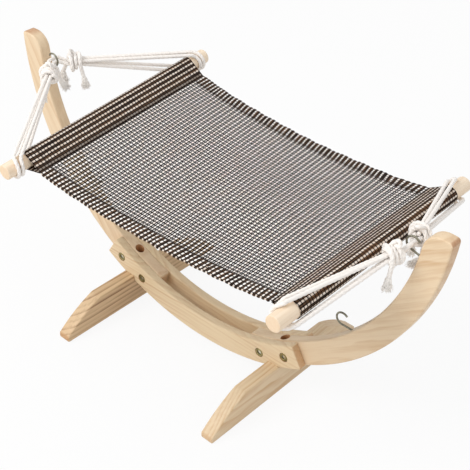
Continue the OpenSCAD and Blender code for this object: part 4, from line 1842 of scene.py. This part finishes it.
@dataclass
class Fittings:
    """The zinc fittings: turned rail bolts and sleeve nuts; the rest keep their solids."""

    stand: Stand
    head_r: float = 6.25 * MM
    head_h: float = 3 * MM
    rim: float = 0.5 * MM
    socket_w: float = 6.2 * MM
    socket_h: float = 1.6 * MM
    shank_r: float = 3 * MM
    shank_tip: float = 0.6 * MM
    sleeve_r: float = 4.2 * MM
    bore_shaded_r: float = 3.1 * MM
    crown: float = 0.2 * MM
    core_r: float = 0.3 * MM
    sides: int = 72
    solids: tuple[str, ...] = ("foot_bolts", "foot_inserts")

    def headed(
        self, name: str, edge: Edge, stem: Sequence[tuple[float, float]], metals: Sequence[Material]
    ) -> None:
        """Turns the four bolts or nuts in one rail.

        Ring k stands at its depth with the radius r where it is round, and with
        r / cos(a mod 60 - 30) at angle a where it belongs to the hexagon socket,
        whose r is half its width across the flats.

        Args:
            name: The node that they stand for.
            edge: The rail.
            stem: Radius and depth of the rings below the head.
            metals: The finishes of the outside, of the socket's walls, dark as painted shade, and of its
                floor, pale as a painted glint.
        """
        flat = self.socket_w / 2
        head = [
            (0.2 * flat, self.socket_h, 1.0),
            (flat, self.socket_h, 1.0),
            (flat, 0.5 * MM, 1.0),
            (flat + 0.7 * MM, 0.1 * MM, 0.0),
            (flat + 0.9 * MM, 0.0, 0.0),
            (self.head_r - 1.4 * self.rim, 0.0, 0.0),
            (self.head_r - 0.6 * self.rim, 0.2 * self.rim, 0.0),
            (self.head_r, self.rim, 0.0),
            (self.head_r, self.head_h, 0.0),
        ]
        rings = np.array([*head, *((r, depth, 0.0) for r, depth in stem)])
        a = circle(self.sides)
        hexagon = 1.0 / np.cos(np.mod(a, math.pi / 3) - math.pi / 6)
        radius = rings[:, :1] * (1.0 + rings[:, 2:] * (hexagon - 1.0))
        centres = self.stand.bow_points(self.stand.mid_r, self.stand.bolt_angles)
        turns = np.array([0.3, 0.75, 0.1, 0.55])[:, None, None]
        xz = centres[:, None, None] + radius[..., None] * around(a + turns, *np.eye(2))
        points = at_depth(xz, edge.value * (self.stand.face_y - rings[:, 1:2]))
        faces = tube_faces(len(rings), self.sides, len(centres))
        piece = new_piece(f"{name}_turned", points, faces, metals[0])
        for metal in metals[1:]:
            piece.data.materials.append(metal)
        # The socket's floor and the cap at its bottom take the painted glint, and its walls the painted
        # shade.
        inside = np.zeros(len(faces), np.int32)
        quads = len(faces) - 2 * len(centres)
        inside[:quads].reshape(len(centres), -1, self.sides)[:, :2] = [[2], [1]]
        inside[quads::2] = 2
        piece.data.polygons.foreach_set("material_index", inside)
        sharpen(piece, METAL_EDGE)
        settle(piece, Body.FRAME, "zinc", name)

    def build(self) -> None:
        """Turns the bolts and nuts and gives the other fittings their finish."""
        zinc = ZincFinish().material()
        # The socket's walls get a dark zinc: painted shade inside the hexagon socket.
        socket = ZincFinish("zinc_socket_painted_shade", srgb(66, 58, 41), srgb(42, 37, 28)).material()
        # A pale zinc on the socket's floor: a painted glint.
        painted_glint = ZincFinish("zinc_painted_glint", srgb(236, 229, 205), srgb(214, 205, 176)).material()
        wire = ZincFinish("zinc_wire", srgb(150, 146, 130), srgb(112, 108, 95)).material()
        reach = self.stand.arm_t + 2 * self.stand.rail_t - self.head_h - self.stand.seat_gap
        shank = [
            (self.shank_r, self.head_h),
            (self.shank_r, reach - self.shank_tip),
            (self.shank_r - self.shank_tip, reach),
            (self.core_r, reach),
        ]
        sleeve = [
            (self.sleeve_r, self.head_h),
            (self.sleeve_r, self.stand.rail_t),
            (self.bore_shaded_r, self.stand.rail_t),
            (self.bore_shaded_r, self.head_h + self.crown),
            (self.core_r, self.head_h + self.crown),
        ]
        self.headed("rail_bolts", Edge.FRONT, shank, (zinc, socket, painted_glint))
        self.headed("rail_nuts", Edge.REAR, sleeve, (zinc, socket, painted_glint))
        hooks = [f"{side.word}_{level}_hook" for side in Side for level in ("upper", "lower")]
        for name in (*self.solids, *hooks):
            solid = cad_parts[name]
            solid.data.materials.clear()
            solid.data.materials.append(wire if name in hooks else zinc)
            LOG.info("fitting %s", name)


def pose(right: np.ndarray, up: np.ndarray, back: np.ndarray, place: Sequence[float]) -> Matrix:
    """The matrix of a camera or lamp from its axes and its place."""
    matrix = np.eye(4)
    matrix[:3] = np.stack([right, up, back, place], -1)
    return Matrix(matrix.tolist())


@dataclass(frozen=True)
class Lamp:
    """A square lamp aimed at the middle of the hammock."""

    name: str
    place: tuple[float, float, float]
    size: float
    power: float
    target: tuple[float, float, float] = (0.0, 0.0, 0.15)

    def build(self) -> None:
        """Adds the lamp."""
        data = bpy.data.lights.new(self.name, "AREA")
        data.shape = "SQUARE"
        data.size = self.size
        data.energy = self.power
        lamp = bpy.data.objects.new(self.name, data)
        back = unit(np.array(self.place) - np.array(self.target))
        right = unit(np.cross(UP, back))
        lamp.matrix_world = pose(right, np.cross(back, right), back, self.place)
        bpy.context.scene.collection.objects.link(lamp)


@dataclass
class Studio:
    """Camera at the photograph's place, a pale floor and soft lamps."""

    place: tuple[float, float, float] = (0.78492, -0.85815, 1.04226)
    yaw: float = math.radians(40.821)
    pitch: float = math.radians(36.609)
    roll: float = math.radians(2.163)
    lens: float = 82.877
    sensor: float = 36.0
    floor_half: float = 6.0
    floor_grey: Colour = (0.86, 0.86, 0.86, 1.0)
    floor_white: float = 0.9
    sky: float = 0.65
    backdrop: float = 0.976
    lamps: tuple[Lamp, ...] = (
        Lamp("key", (-1.4, -2.4, 2.9), 2.2, 78.0),
        Lamp("fill", (1.7, -0.5, 2.3), 1.6, 9.0),
    )

    def camera(self) -> None:
        """Sets up the camera."""
        data = bpy.data.cameras.new("camera")
        data.lens = self.lens
        data.sensor_width = self.sensor
        camera = bpy.data.objects.new("camera", data)
        level = np.array([-math.sin(self.yaw), math.cos(self.yaw), 0.0])
        ahead = math.cos(self.pitch) * level - math.sin(self.pitch) * UP
        flat = unit(np.cross(ahead, UP))
        right = math.cos(self.roll) * flat + math.sin(self.roll) * np.cross(flat, ahead)
        camera.matrix_world = pose(right, np.cross(right, ahead), -ahead, self.place)
        bpy.context.scene.collection.objects.link(camera)
        bpy.context.scene.camera = camera

    def seen_plain(self, g: Graph, lit: Sock, plain: Sock, share: float) -> Sock:
        """Mixes a lit shader with a plain one where the camera sees it, also in a mirror.

        Args:
            g: The tree.
            lit: The lit shader.
            plain: The plain shader.
            share: The share of the plain one.

        Returns:
            The mixed shader.
        """
        seen = g.node("ShaderNodeLightPath", output="Is Camera Ray")
        rays = (seen.other("Is Glossy Ray"), seen.other("Is Transmission Ray"))
        for ray in rays:
            seen = seen.most(ray)
        return g.node("ShaderNodeMixShader", None, {0: seen * share, 1: lit, 2: plain})

    def floor(self) -> None:
        """Lays the floor."""
        g = Graph.named("studio_floor")
        lit = g.node("ShaderNodeBsdfDiffuse", None, {"Color": self.floor_grey})
        white = g.node("ShaderNodeEmission", None, {"Color": WHITE, "Strength": 1.0})
        g.close(self.seen_plain(g, lit, white, self.floor_white))
        corners = np.array([[-1.0, -1.0, 0.0], [1.0, -1.0, 0.0], [1.0, 1.0, 0.0], [-1.0, 1.0, 0.0]])
        new_piece("floor", self.floor_half * corners, [[0, 1, 2, 3]], g.owner)

    def build(self) -> None:
        """Lights the scene and lays the floor."""
        scene = bpy.context.scene
        scene.view_settings.view_transform = "Standard"
        scene.world = bpy.data.worlds.new("studio")
        g = Graph(scene.world)
        soft = g.node("ShaderNodeBackground", None, {"Color": WHITE, "Strength": self.sky})
        white = g.node("ShaderNodeBackground", None, {"Color": WHITE, "Strength": self.backdrop})
        g.close(self.seen_plain(g, soft, white, 1.0), "ShaderNodeOutputWorld")
        self.floor()
        for lamp in self.lamps:
            lamp.build()


def main() -> None:
    """Builds the scene in order."""
    logging.basicConfig(level=logging.INFO, format="%(message)s")
    studio = Studio()
    studio.camera()
    stand = Stand()
    rig = Rigging(stand)
    Ropes(rig).build()
    stand.build()
    Bars(rig).build()
    Sling(rig).build()
    Fittings(stand).build()
    studio.build()


if __name__ == "__main__":
    main()
